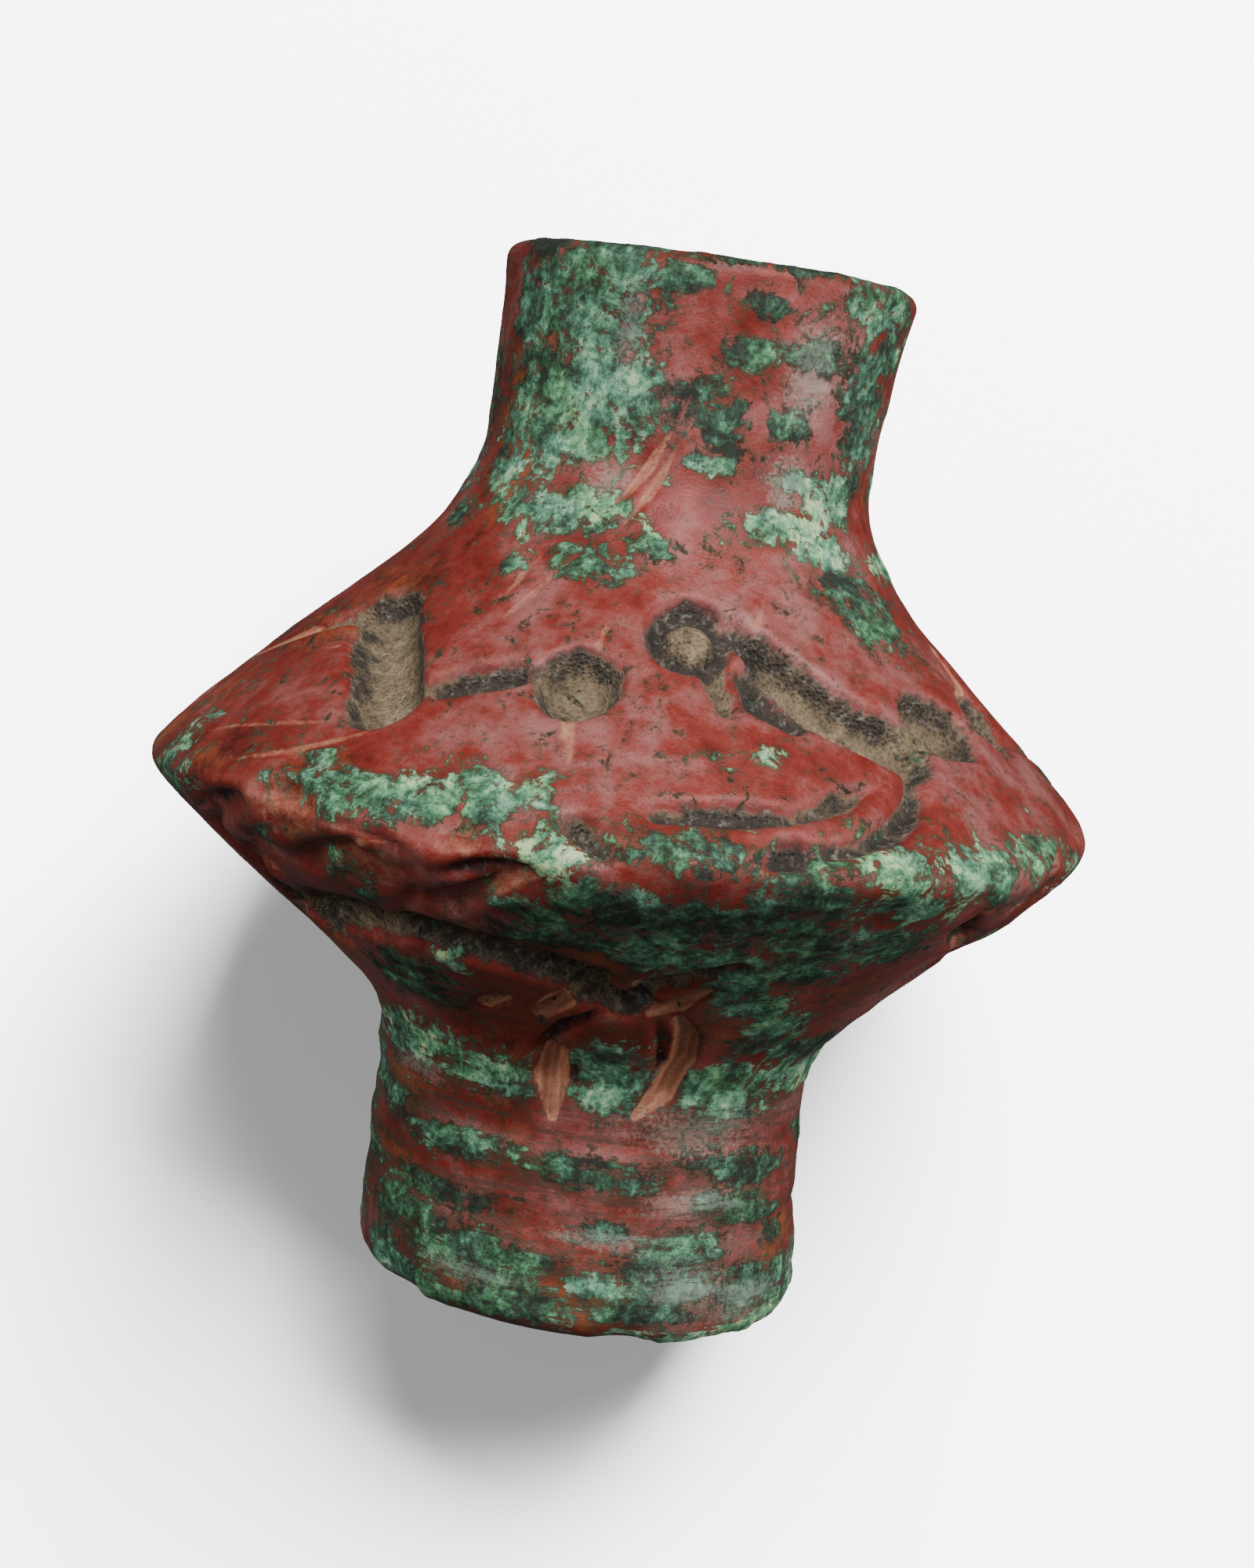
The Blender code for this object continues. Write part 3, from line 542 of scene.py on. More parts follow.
# %% Knocks along the ridge and on the necks
DISHES = (
    # angle round the seal, millimetres from the ridge, radius and depth in millimetres
    (33, -0.9, 1.0, 0.16), (26, -5.0, 0.7, 0.10), (-16, 10.0, 0.9, 0.12), (-26, 12.6, 0.8, 0.12),
    (44, 12.6, 0.5, 0.10), (10, 12.9, 0.35, 0.10), (92, -13.9, 0.9, 0.14), (60, -13.9, 0.7, 0.10),
    (15, -14.2, 0.9, 0.16), (-50, -13.9, 1.0, 0.16), (150, -12.0, 0.9, 0.12), (200, 11.8, 0.9, 0.14),
    (250, 8.0, 0.8, 0.10), (215, -9.5, 0.8, 0.10), (128, 14.0, 0.8, 0.18), (142, -0.2, 1.3, 0.20),
)
CHIPS = (
    # the same, and where the steep side faces: 0 is round to the right, 90 the narrow neck
    (70, -0.5, 0.40, 0.30, 40),
    (-38, -0.3, 1.00, 0.36, 110), (-29, -1.2, 0.80, 0.34, 70), (-16, 0.2, 0.62, 0.36, 80),
    (-52, -2.2, 0.60, 0.26, 200), (-24, -0.6, 0.55, 0.24, 180), (-10, -0.5, 0.50, 0.26, 70),
    (-55, -0.5, 0.45, 0.26, 110), (-2, 0.7, 0.34, 0.24, 90), (-62, 0.3, 0.50, 0.18, 30),
    (-46, -1.6, 0.60, 0.22, 90), (-31, -1.7, 0.50, 0.20, 60), (5, -0.3, 0.45, 0.16, 90),
    (16, -0.2, 0.60, 0.16, 70), (46, -0.6, 0.50, 0.22, 90), (84, -0.3, 0.55, 0.22, 120),
    (96, -0.7, 0.60, 0.24, 80), (107, 0.5, 0.50, 0.22, 260), (90, 0.7, 0.30, 0.20, 300),
    (103, 1.0, 0.30, 0.16, 270), (76, 0.5, 0.30, 0.18, 240),
)
UNSEEN = 26
chance_of = np.random.default_rng(7)
UNSEEN_CHIPS = tuple(zip(
    chance_of.uniform(122, 288, UNSEEN), chance_of.normal(0.0, 0.8, UNSEEN),
    chance_of.uniform(0.3, 0.8, UNSEEN), chance_of.uniform(0.14, 0.32, UNSEEN),
    chance_of.uniform(0, 360, UNSEEN),
))
knocked, chipped = np.zeros((2, *arc.shape))
for angle, place, radius, depth in DISHES:
    share = np.hypot(turn_from(math.radians(angle)) * local_radius, arc - place) / radius
    knocked += depth * np.clip(1.0 - (share * unevenness) ** 2, 0.0, 1.0) ** 1.5
for angle, place, radius, depth, facing in CHIPS + UNSEEN_CHIPS:
    x, y = turn_from(math.radians(angle)) * local_radius / radius, (arc - place) / radius
    share = np.hypot(x, y) * (2.0 * unevenness - 1.0)
    down_x, down_y = math.cos(math.radians(facing)), math.sin(math.radians(facing))
    slant = 0.5 + 0.5 * (x * down_x + y * down_y)
    # It deepens evenly towards its steep side, and only near its edge does it rise.
    chip = np.clip(slant, 0.0, 1.0) * np.clip((1.0 - share**2) * 2.5, 0.0, 1.0) ** 0.7
    knocked = np.maximum(knocked, depth * chip)
    chipped = np.maximum(chipped, smooth_step(chip, 0.05, 0.3) * min(1.0, depth / 0.25))
knocked = soften(knocked)

# How far each point belongs to the seal's side, not to an end, and to its wide neck.
on_side = smooth_step(arc, wide_face - 0.3, wide_face + 0.4)
on_side *= smooth_step(-arc, -narrow_face - 0.2, -narrow_face + 0.3)
on_wide_neck = smooth_step(-arc, WIDE_SLOPE - 0.3, WIDE_SLOPE + 0.5) * on_side
# A cell of this noise is nearly a radian long round the seal and a sixth of a millimetre
# wide along it.
along = arc * 6.0 + 0.4 * np.sin(around * 2.0)
turning = np.stack([around * 1.1, along, np.zeros_like(arc)], axis=-1)
turned_lines = rough_noise(turning, 1.0, seed=5) * on_wide_neck
waviness = 0.07 * rough_noise(body, 3.2, seed=7) + 0.022 * rough_noise(body, 0.9, seed=17)
print("deepest knock, mm:", round(float(knocked.max()), 2))

# %% [markdown]
# ## Where the green grows
#
# Malachite crust takes hold where earth stays damp against the metal: on the necks, in the
# corner where neck meets cone, along the battered ridge. Each patch below is an oval with a
# ragged edge. The last number is how light its green is, from 0 for dark teal to 9 for cream.
# Three more lists lay pale dust and painted sheen on the metal, warm its red, or turn it to a mauve that is
# partly painted sheen.

# %% Patches of crust
# Each is (degrees round, millimetres from the ridge, half width, half height, lightness).
# The dark patches just under the ridge, lightness 1 to 3, are partly dark crust and partly painted shade
# under the ridge.
FRONT_PATCHES = (
    (-38, 13.2, 2.4, 1.2, 6), (-24, 11.5, 1.6, 1.0, 7), (-43, 10.3, 1.4, 0.7, 6), (15, 13.7, 0.7, 0.2, 3),
    (14, 12.6, 0.7, 0.3, 4), (1, 11.7, 0.8, 0.4, 4), (43, 12.6, 1.1, 0.2, 3), (12, 10.9, 0.5, 0.6, 2),
    (9, 10.2, 0.5, 0.2, 8), (52, 14.1, 1.4, 0.8, 6), (29, 9.0, 1.0, 0.3, 8), (45, 8.5, 1.0, 0.4, 9),
    (53, 6.9, 1.2, 1.0, 3), (-34, 8.6, 1.3, 0.6, 6), (-71, 8.2, 1.4, 0.4, 3), (-3, 8.1, 0.6, 0.3, 3),
    (-32, 7.1, 0.3, 0.2, 3), (-22, 7.4, 0.2, 0.2, 3), (-27, 0.8, 1.7, 0.45, 5), (-15, 1.2, 1.3, 0.6, 6),
    (-6, 0.2, 0.7, 0.5, 8), (-32, -1.5, 0.5, 0.7, 4), (-64, 1.3, 0.6, 0.3, 5), (-63, 0.0, 0.9, 0.9, 5),
    (0, -1.0, 1.3, 0.6, 4), (22, -0.4, 1.1, 0.7, 2), (36, -0.6, 1.0, 0.6, 8), (45, 0.2, 1.2, 0.4, 6),
    (6, -2.4, 0.9, 0.8, 3), (-7, -1.6, 0.6, 0.5, 4), (22, -3.7, 0.7, 0.8, 3), (-35, -5.5, 1.2, 1.0, 2),
    (-23, -4.4, 0.3, 0.4, 7), (-52, -8.2, 2.2, 0.7, 6), (-27, -8.5, 1.5, 0.5, 6), (4, -7.8, 0.8, 0.9, 6),
    (37, -8.4, 1.8, 0.8, 5), (37, -6.2, 0.8, 1.0, 3), (-32, -10.3, 2.0, 0.3, 5), (2, -10.4, 1.7, 0.35, 3),
    (-55, -12.4, 1.2, 0.6, 4), (-31, -12.8, 2.0, 0.7, 5), (-42, -14.0, 1.7, 0.6, 4), (5, -12.9, 0.9, 0.3, 7),
    (28, -12.1, 1.1, 0.5, 4), (20, -13.4, 1.7, 0.4, 3), (7, -11.7, 0.5, 0.2, 3), (19, 2.9, 0.2, 0.2, 7),
    (10, 2.8, 0.3, 0.1, 6), (13, 0.4, 0.25, 0.25, 6), (-38, 1.2, 0.25, 0.25, 5), (12, -1.6, 1.9, 0.8, 2),
    (30, -2.4, 1.4, 0.8, 2), (-8, -2.3, 1.0, 0.5, 1), (8, 0.3, 0.9, 0.5, 2), (58, 0.5, 1.0, 0.5, 6),
    (-14, 7.6, 0.8, 0.4, 4), (-20, 8.9, 1.0, 0.5, 7), (48, 9.8, 0.9, 0.6, 6), (30, 11.2, 0.7, 0.3, 5),
    (4, -8.4, 1.0, 0.5, 5), (-15, -13.6, 1.4, 0.5, 4), (50, -13.2, 1.3, 0.6, 4), (48, -10.3, 1.4, 0.3, 4),
    (-33, 0.6, 1.5, 0.4, 5), (-20, 1.0, 1.2, 0.5, 6), (-4, 0.5, 0.8, 0.5, 8), (8, 0.3, 1.2, 0.35, 4),
    (20, 0.2, 1.4, 0.4, 4), (33, 0.3, 1.3, 0.45, 6), (47, 0.4, 1.4, 0.45, 6), (60, 0.5, 1.2, 0.35, 6),
    (3, -1.3, 1.4, 0.7, 2), (20, -1.5, 1.8, 0.8, 1), (37, -2.1, 1.5, 0.8, 2), (14, -3.0, 1.4, 0.6, 3),
    (-68, -0.4, 0.8, 0.6, 5), (-44, -12.4, 1.5, 0.5, 3), (-10, -12.6, 1.0, 0.3, 4), (-40, -11.6, 1.6, 0.3, 3),
    (40, -11.0, 1.2, 0.25, 5), (-58, -9.9, 1.2, 0.3, 4), (22, -12.6, 1.4, 0.3, 3), (-62, -13.6, 1.4, 0.6, 4),
    (-48, 11.9, 1.0, 0.8, 4), (-30, 10.4, 1.2, 0.6, 8), (-58, 13.0, 0.9, 0.9, 4), (-52, 9.4, 0.9, 0.6, 5),
    (-28, 14.1, 1.5, 0.4, 7), (-8, 14.0, 0.8, 0.3, 5), (52, 12.4, 0.8, 0.9, 5), (62, 11.4, 0.8, 0.9, 5),
    (-31.7, -1.4, 0.25, 0.35, 4), (-31, -2.0, 0.30, 0.25, 4), (-43.3, -1.0, 0.25, 0.2, 3),
    (-37.2, 0.95, 0.3, 0.15, 5), (-68.8, 1.6, 0.4, 0.5, 4), (46.7, 0.3, 0.6, 0.35, 8),
    (44, -0.4, 0.4, 0.3, 7), (-38.8, -5.7, 0.8, 0.8, 1), (-23.8, -4.3, 0.35, 0.3, 6),
    (3.5, -7.8, 0.8, 0.25, 5), (2.5, -8.7, 0.6, 0.25, 8), (12, -3.0, 1.0, 0.4, 2), (0, -2.5, 0.8, 0.35, 3),
    (-10, -1.3, 0.5, 0.3, 4), (-52, 14.6, 0.9, 0.4, 1), (-25, 14.8, 1.2, 0.3, 3), (5, 14.7, 1.0, 0.2, 2),
    (30, 14.7, 1.2, 0.3, 3), (58, 14.6, 0.8, 0.4, 3),
)
SIDE_PATCHES = (
    (92, -14.15, 2.4, 0.3, 9), (60, -14.1, 2.2, 0.26, 9), (32, -14.3, 1.6, 0.26, 8),
    (76, -13.6, 2.6, 0.22, 5), (97, -7.9, 1.9, 0.5, 8), (79, -8.0, 1.7, 0.5, 9), (66, -8.05, 1.5, 0.42, 9),
    (52, -8.0, 1.9, 0.5, 7), (60, -14.6, 2.6, 0.3, 9), (88, -14.6, 2.6, 0.3, 9), (66, -13.0, 1.0, 0.3, 5),
    (100, -13.2, 1.6, 0.4, 6), (120, -12.8, 1.5, 0.9, 5), (25, -12.9, 1.2, 0.5, 4), (88, -13.0, 1.4, 0.4, 6),
    (106, -9.6, 2.0, 0.25, 4), (62, -12.0, 0.5, 0.15, 3), (53, -11.4, 1.3, 0.15, 4), (41, -10.1, 1.4, 0.2, 5),
    (85, -9.7, 1.1, 0.3, 6), (74, -8.1, 2.6, 0.5, 8), (36, -8.0, 1.6, 0.6, 5), (61, -7.1, 2.3, 0.6, 2),
    (79, -6.5, 0.6, 0.7, 3), (135, -8.1, 1.0, 0.6, 7), (88, -5.9, 0.4, 0.4, 5), (32, -6.0, 0.4, 0.6, 6),
    (27, -4.9, 1.0, 0.6, 4), (30, -3.3, 1.1, 0.5, 3), (16, -3.4, 0.9, 0.6, 6), (17, -1.7, 0.8, 0.4, 5),
    (83, -2.1, 0.3, 0.3, 7), (66, -2.1, 0.7, 0.4, 7), (81, -0.8, 1.1, 0.5, 5), (92, -0.5, 0.6, 0.3, 7),
    (70, -0.4, 0.35, 0.6, 7), (47, -0.3, 0.8, 0.4, 6), (35, -0.6, 0.7, 0.6, 8), (132, -1.1, 1.0, 0.3, 6),
    (130, 0.1, 1.2, 0.5, 6), (115, -2.0, 0.3, 0.25, 7), (86, 1.9, 0.5, 0.6, 2), (114, 6.9, 1.2, 1.1, 2),
    (113, 8.3, 1.7, 0.5, 7), (83, 8.2, 1.7, 0.4, 7), (48, 7.3, 1.0, 0.9, 1), (33, 9.0, 1.2, 0.3, 9),
    (127, 10.9, 1.7, 0.9, 4), (102, 10.4, 1.1, 0.8, 5), (82, 10.3, 0.4, 0.3, 5), (108, 11.9, 1.7, 0.6, 5),
    (121, 13.1, 1.4, 0.3, 7), (54, 12.2, 0.5, 0.5, 5), (38, 10.0, 0.6, 0.2, 8), (59, 10.2, 0.4, 0.2, 3),
    (35, 12.8, 0.9, 0.3, 4), (64, 13.2, 0.9, 0.5, 4), (52, 14.0, 1.6, 0.35, 8),
)
# The others are the same without the lightness.
# Pale ovals, partly dust and partly a painted sheen where light glances off the necks.
DUST_AND_SHEEN = (
    (30, -9.3, 2.0, 0.6), (-50, -8.9, 1.2, 0.3), (33, 12.4, 0.7, 1.2), (-20, 12.8, 0.3, 1.2),
    (32, 9.9, 0.6, 0.8), (89, -13.1, 1.6, 0.6), (48, -13.4, 1.6, 0.5), (30, -12.9, 1.2, 0.7),
    (119, -12.3, 1.2, 0.8), (30, -11.0, 1.6, 0.4), (-18, 9.6, 0.6, 0.5), (115, 11.4, 1.2, 1.2),
    (88, 11.0, 1.2, 1.0), (8, -11.9, 1.4, 0.25), (-30, -13.2, 1.6, 0.3),
)
WARM = (
    (1.7, -13.6, 0.7, 0.5), (-27.5, -13.5, 0.6, 0.5), (33.8, -0.2, 0.4, 0.3), (62, 2.0, 0.5, 0.3),
    (-56, 0.6, 0.9, 0.5), (5, 2.8, 0.8, 0.2), (18, 3.0, 0.5, 0.2), (0, 0.5, 1.4, 0.3), (59, -12.6, 1.1, 0.5),
    (68, -12.0, 1.0, 0.5), (113, -10.3, 1.8, 0.5), (126, -11.3, 1.6, 1.0), (90, -11.2, 1.4, 0.4),
    (95, 2.4, 1.6, 0.6), (-50, 12.8, 0.6, 0.6), (-48, 9.0, 0.5, 1.0), (19, 12.2, 0.6, 0.4),
    (20, 10.8, 0.4, 0.3), (100, 9.8, 1.0, 0.3), (-56, -11.2, 1.2, 0.3), (-56, -9.4, 1.2, 0.25),
    (-38, -13.2, 0.5, 0.3), (-54, 11.0, 0.8, 2.0),
)
# Mauve ovals, partly the oxide's own colour and partly a painted sheen.
MAUVE_AND_SHEEN = (
    (25, 5.5, 3.0, 2.5), (56, 3.5, 3.2, 3.4), (-4, 2.8, 2.4, 1.6), (-22, 6.4, 1.6, 1.2),
    (30, 12.6, 2.2, 1.8), (25, 1.8, 2.4, 0.7), (38, 8.0, 1.2, 0.8), (58, -5.4, 1.2, 2.4),
    (38, -11.2, 2.4, 2.6), (78, -4.6, 2.6, 1.2), (50, -9.0, 2.0, 0.5), (100, 13.4, 2.0, 0.6),
    (29, 11.3, 1.2, 0.8), (0, 7.2, 1.4, 0.5), (-46, 2.4, 1.4, 0.5),
)


EDGE_FALL = 0.70


def oval(angle, place, half_width, half_height):
    """A bump that is 1 at the middle of an oval on the skin, half at its edge and 0 far off."""
    x = turn_from(math.radians(angle)) * local_radius / half_width
    return np.exp(-(np.hypot(x, (arc - place) / half_height) ** 2) * EDGE_FALL)


def ovals(places):
    """The highest of many such bumps."""
    return np.max([oval(*place) for place in places], axis=0)


def band(place, width):
    """A bump that runs right round the seal at a place on its outline, 1 at its middle."""
    return np.exp(-(((arc - place) / width) ** 2))


LIGHTEST = 9.0
patched, lightness = np.zeros((2, *arc.shape))
weight = np.full(arc.shape, 1e-6)
for angle, place, half_width, half_height, light in FRONT_PATCHES + SIDE_PATCHES:
    fall = oval(angle, place, half_width + 0.1, half_height + 0.08)
    patched = np.maximum(patched, fall)
    # The fourth power lets the nearest patch decide the lightness nearly alone.
    lightness += fall**4 * light / LIGHTEST
    weight += fall**4
lightness /= weight
print("highest patch:", round(float(patched.max()), 2))

# %% [markdown]
# The photo's two views show the seal from about 75 degrees on the left to 145 on the right.
# Past that, noise takes over from the patches and asks for more crust on the necks, in the
# corners, along the crest and in the grooves. Grit, soot and bare metal thin it everywhere.

# %% Crust, dust, painted sheen and warmth everywhere
SHOWN_MIDDLE = 35
ALL_SHOWN, NONE_SHOWN = math.cos(math.radians(92)), math.cos(math.radians(112))
NARROW_CORNER, WIDE_CORNER = 8.8, -8.1
shown_round = smooth_step(np.cos(around - math.radians(SHOWN_MIDDLE)), NONE_SHOWN, ALL_SHOWN)
necks = smooth_step(np.abs(arc), 7.6, 9.4)
corner = band(NARROW_CORNER, 0.7) + band(WIDE_CORNER, 0.7)
crest = band(0.0, 1.1)
in_grooves = band(-9.8, 0.35) + band(-11.6, 0.28)
chance = (
    rough_noise(body, 2.6, seed=23, layers=4) * 0.55
    + 0.22 * necks + 0.30 * corner + 0.20 * crest + 0.22 * in_grooves - 0.08
)
unseen = np.clip(chance + 0.25, 0.0, 1.0)
wanted = shown_round * patched + (1.0 - shown_round) * unseen
unseen_dust = np.clip(0.5 * necks + 0.7 * rough_noise(body, 2.2, seed=29), 0.0, 1.0)
# Pale dust, with painted sheen where the ovals are.
dust_and_sheen = shown_round * ovals(DUST_AND_SHEEN) + (1.0 - shown_round) * unseen_dust
warmed = ovals(WARM) - ovals(MAUVE_AND_SHEEN)
ragged = 0.16 * rough_noise(body, 0.75, seed=41) + 0.08 * rough_noise(body, 0.22, seed=43, layers=2)
stain = 0.20 * rough_noise(body, 1.7, seed=47) * (0.35 + 0.65 * necks)
crust = smooth_step(wanted + ragged + stain, 0.10, 1.0)
crust *= 1.0 - 0.95 * smooth_step(grit, 0.2, 0.7)
crust *= 1.0 - 0.9 * np.maximum(clean, smooth_step(dirt, 0.6, 0.95))
crust_light = np.where(shown_round > 0.5, lightness, 0.5) + 0.22 * rough_noise(body, 1.1, seed=53)
# The crust is darker on the two necks, past the pale rim of the wide one.
DARKER = 0.20
crust_light -= DARKER * smooth_step(arc, wide_rim - 0.2, wide_rim + 0.6) * smooth_step(-arc, 8.6, 9.4)
crust_light -= DARKER * smooth_step(arc, 9.4, 10.6)
print("share of the skin under crust:", round(float((crust > 0.5).mean()), 2))

# %% [markdown]
# ## One skin
#
# All the parts of the relief are lengths along the way out of the body, so they add up. The
# finished points are then laid down as the solid lies, on the ridge and the rim of the wide
# neck, and whatever would sink below the floor is worn flat.

# %% Move the points and lay the seal down
# Heights of the fine relief, in millimetres, and the share of all relief that an end keeps.
TURNED, GRAIN, CRUST, LUMPS, PITS = 0.03, 0.045, 0.06, 0.06, 0.12
END_SHARE = 0.25
pitting = np.clip(rough_noise(body, 0.35, seed=61) - 0.15, 0.0, 1.0)
floor_grain = GRAIN * rough_noise(body, 0.3, seed=71, layers=2) * grit
crust_height = CRUST + LUMPS * rough_noise(body, 0.5, seed=67) - PITS * pitting
relief = -carved - knocked + waviness + TURNED * turned_lines + floor_grain + crust * crust_height
relief *= END_SHARE + (1.0 - END_SHARE) * on_side
TILT = math.radians(22.289)
RIDGE_CENTRE = np.array([0.171, 0.403, 9.334])
lean_over = np.array([
    [1.0, 0.0, 0.0],
    [0.0, math.sin(TILT), math.cos(TILT)],
    [0.0, -math.cos(TILT), math.sin(TILT)],
])


def laid(point):
    """Points in the seal's own axes, turned and moved to where the seal lies, still in mm."""
    return point @ lean_over.T + RIDGE_CENTRE


skin = laid(body + normal * relief[..., None])
skin[..., 2] = np.maximum(skin[..., 2], 0.0)
print("skin, mm:", np.ptp(skin.reshape(-1, 3), axis=0).round(2))

# %% [markdown]
# The shader needs to know what the carving knows: where the crust is, where grit fills a pit,
# where a wall is steep and takes painted shade, which places lie low and take painted shade,
# and which edges stand out and take a painted highlight. Steepness is how fast the depth
# changes from point to point. An edge is a point that stands above the mean of its
# neighbours. Each of these is kept on the mesh as one number a point.

# %% Measures for the shader
def steepness(depth):
    """How far a depth falls for each millimetre of skin, round and along."""
    round_step = local_radius * (2 * math.pi / COLUMNS) + 1e-3
    across = (np.roll(depth, -1, axis=1) - np.roll(depth, 1, axis=1)) / (2 * round_step)
    along = np.gradient(depth, axis=0) / np.maximum(np.gradient(arc, axis=0), 1e-3)
    return np.hypot(across, along)


def stand_out(field, reach):
    """A field less its mean over the neighbours within a reach of rows and columns."""
    mean = sum(np.roll(field, step, axis=1) for step in range(-reach, reach + 1)) / (2 * reach + 1)
    padded = np.pad(mean, ((reach, reach), (0, 0)), mode="edge")
    mean = sum(padded[step:step + len(field)] for step in range(2 * reach + 1)) / (2 * reach + 1)
    return field - mean


# Painted shade: a steep wall of some depth is darkened as if shaded, and the inside of a dark cut is darkened
# too, partly as soot and partly as painted shade.
wall = smooth_step(steepness(carved + 0.8 * knocked), 0.7, 2.0) * smooth_step(carved + knocked, 0.03, 0.12)
soot_and_shade_share = dirt * (0.75 + 0.5 * rough_noise(body, 0.8, seed=97, layers=2))
wall = np.maximum(wall, soot_and_shade_share * smooth_step(carved, 0.02, 0.08))
wall, grit = soften(wall), soften(grit)
# Edges that stand above their neighbours, and the crest, are lightened: partly wear and partly a painted
# highlight.
raised = smooth_step(stand_out(relief + carved, 2), 0.02, 0.09) * (1.0 - wall)
# A chip shows some metal and has shed part of its crust.
clean = np.maximum(clean, 0.42 * chipped * (1.0 - grit))
crust *= 1.0 - 0.6 * chipped
# Painted shade: how far a point lies below its neighbours, which darkens the grit there.
sunk = smooth_step(-stand_out(relief, 4), 0.03, 0.20)
rubbed_crest = 0.8 * band(0.0, 0.5) * smooth_step(rough_noise(body, 1.5, seed=83), -0.1, 0.5)
worn_and_lit = np.clip(raised + rubbed_crest, 0.0, 1.0)
# Warm ovals raise it; mauve ovals, partly painted sheen, lower it.
warmth = 0.36 + 0.5 * rough_noise(body, 3.0, seed=89) + 0.05 * on_wide_neck + 0.42 * warmed
measures = {
    "crust": crust, "crust_light": np.clip(crust_light, 0.0, 1.0), "grit": grit, "clean": clean,
    "wall": wall, "worn_and_lit": worn_and_lit, "sunk": sunk, "warmth": warmth, "off_line": off_line,
    "neck": on_wide_neck, "dust_and_sheen": dust_and_sheen * (1.0 - grit) * (1.0 - dirt),
}
print({name: round(float(field.mean()), 3) for name, field in measures.items()})

# %% [markdown]
# The first and last rows of the grid are all one point, the middle of a flat end, so each is
# kept once and closed with a fan of triangles. Between them, every cell is a four-cornered
# face whose corners go round the same way, so that all faces point outwards.

# %% Build the mesh
def skin_mesh(name, points):
    """A closed mesh from a grid whose first and last rows are single points."""
    row_count, column_count = points.shape[:2]
    first, last = points[0].mean(axis=0), points[-1].mean(axis=0)
    inner = points[1:-1].reshape(-1, 3)
    index = np.arange(len(inner)).reshape(row_count - 2, column_count)
    after = np.roll(index, -1, axis=1)
    quads = np.stack([index[:-1], after[:-1], after[1:], index[1:]], axis=-1).reshape(-1, 4)
    low = np.stack([np.full(column_count, len(inner)), after[0], index[0]], axis=-1)
    high = np.stack([np.full(column_count, len(inner) + 1), index[-1], after[-1]], axis=-1)
    faces = quads.tolist() + low.tolist() + high.tolist()
    mesh = bpy.data.meshes.new(name)
    mesh.from_pydata(np.vstack([inner, first, last]).tolist(), [], faces)
    mesh.polygons.foreach_set("use_smooth", np.ones(len(mesh.polygons), bool))
    return mesh


def keep_measure(mesh, name, field):
    """Writes one number a point to the mesh, in the order of its points."""
    values = np.r_[field[1:-1].ravel(), field[0].mean(), field[-1].mean()].astype(np.float32)
    mesh.attributes.new(name, "FLOAT", "POINT").data.foreach_set("value", values)


mesh = skin_mesh("engraved_skin", skin * MM)
for name, field in measures.items():
    keep_measure(mesh, name, field)
seal = bpy.data.objects.new("engraved_skin", mesh)
bpy.context.scene.collection.objects.link(seal)
mesh.validate()
mesh.update()
print("points:", len(mesh.vertices), "faces:", len(mesh.polygons))

# %% [markdown]
# ## Finishes
#
# A shader is a small machine of nodes. Writing one out node by node is long, so two helpers
# come first: one that adds a node with its settings and links, and one that opens a node
# group with named inputs and outputs. Groups put out only colours, values and heights.

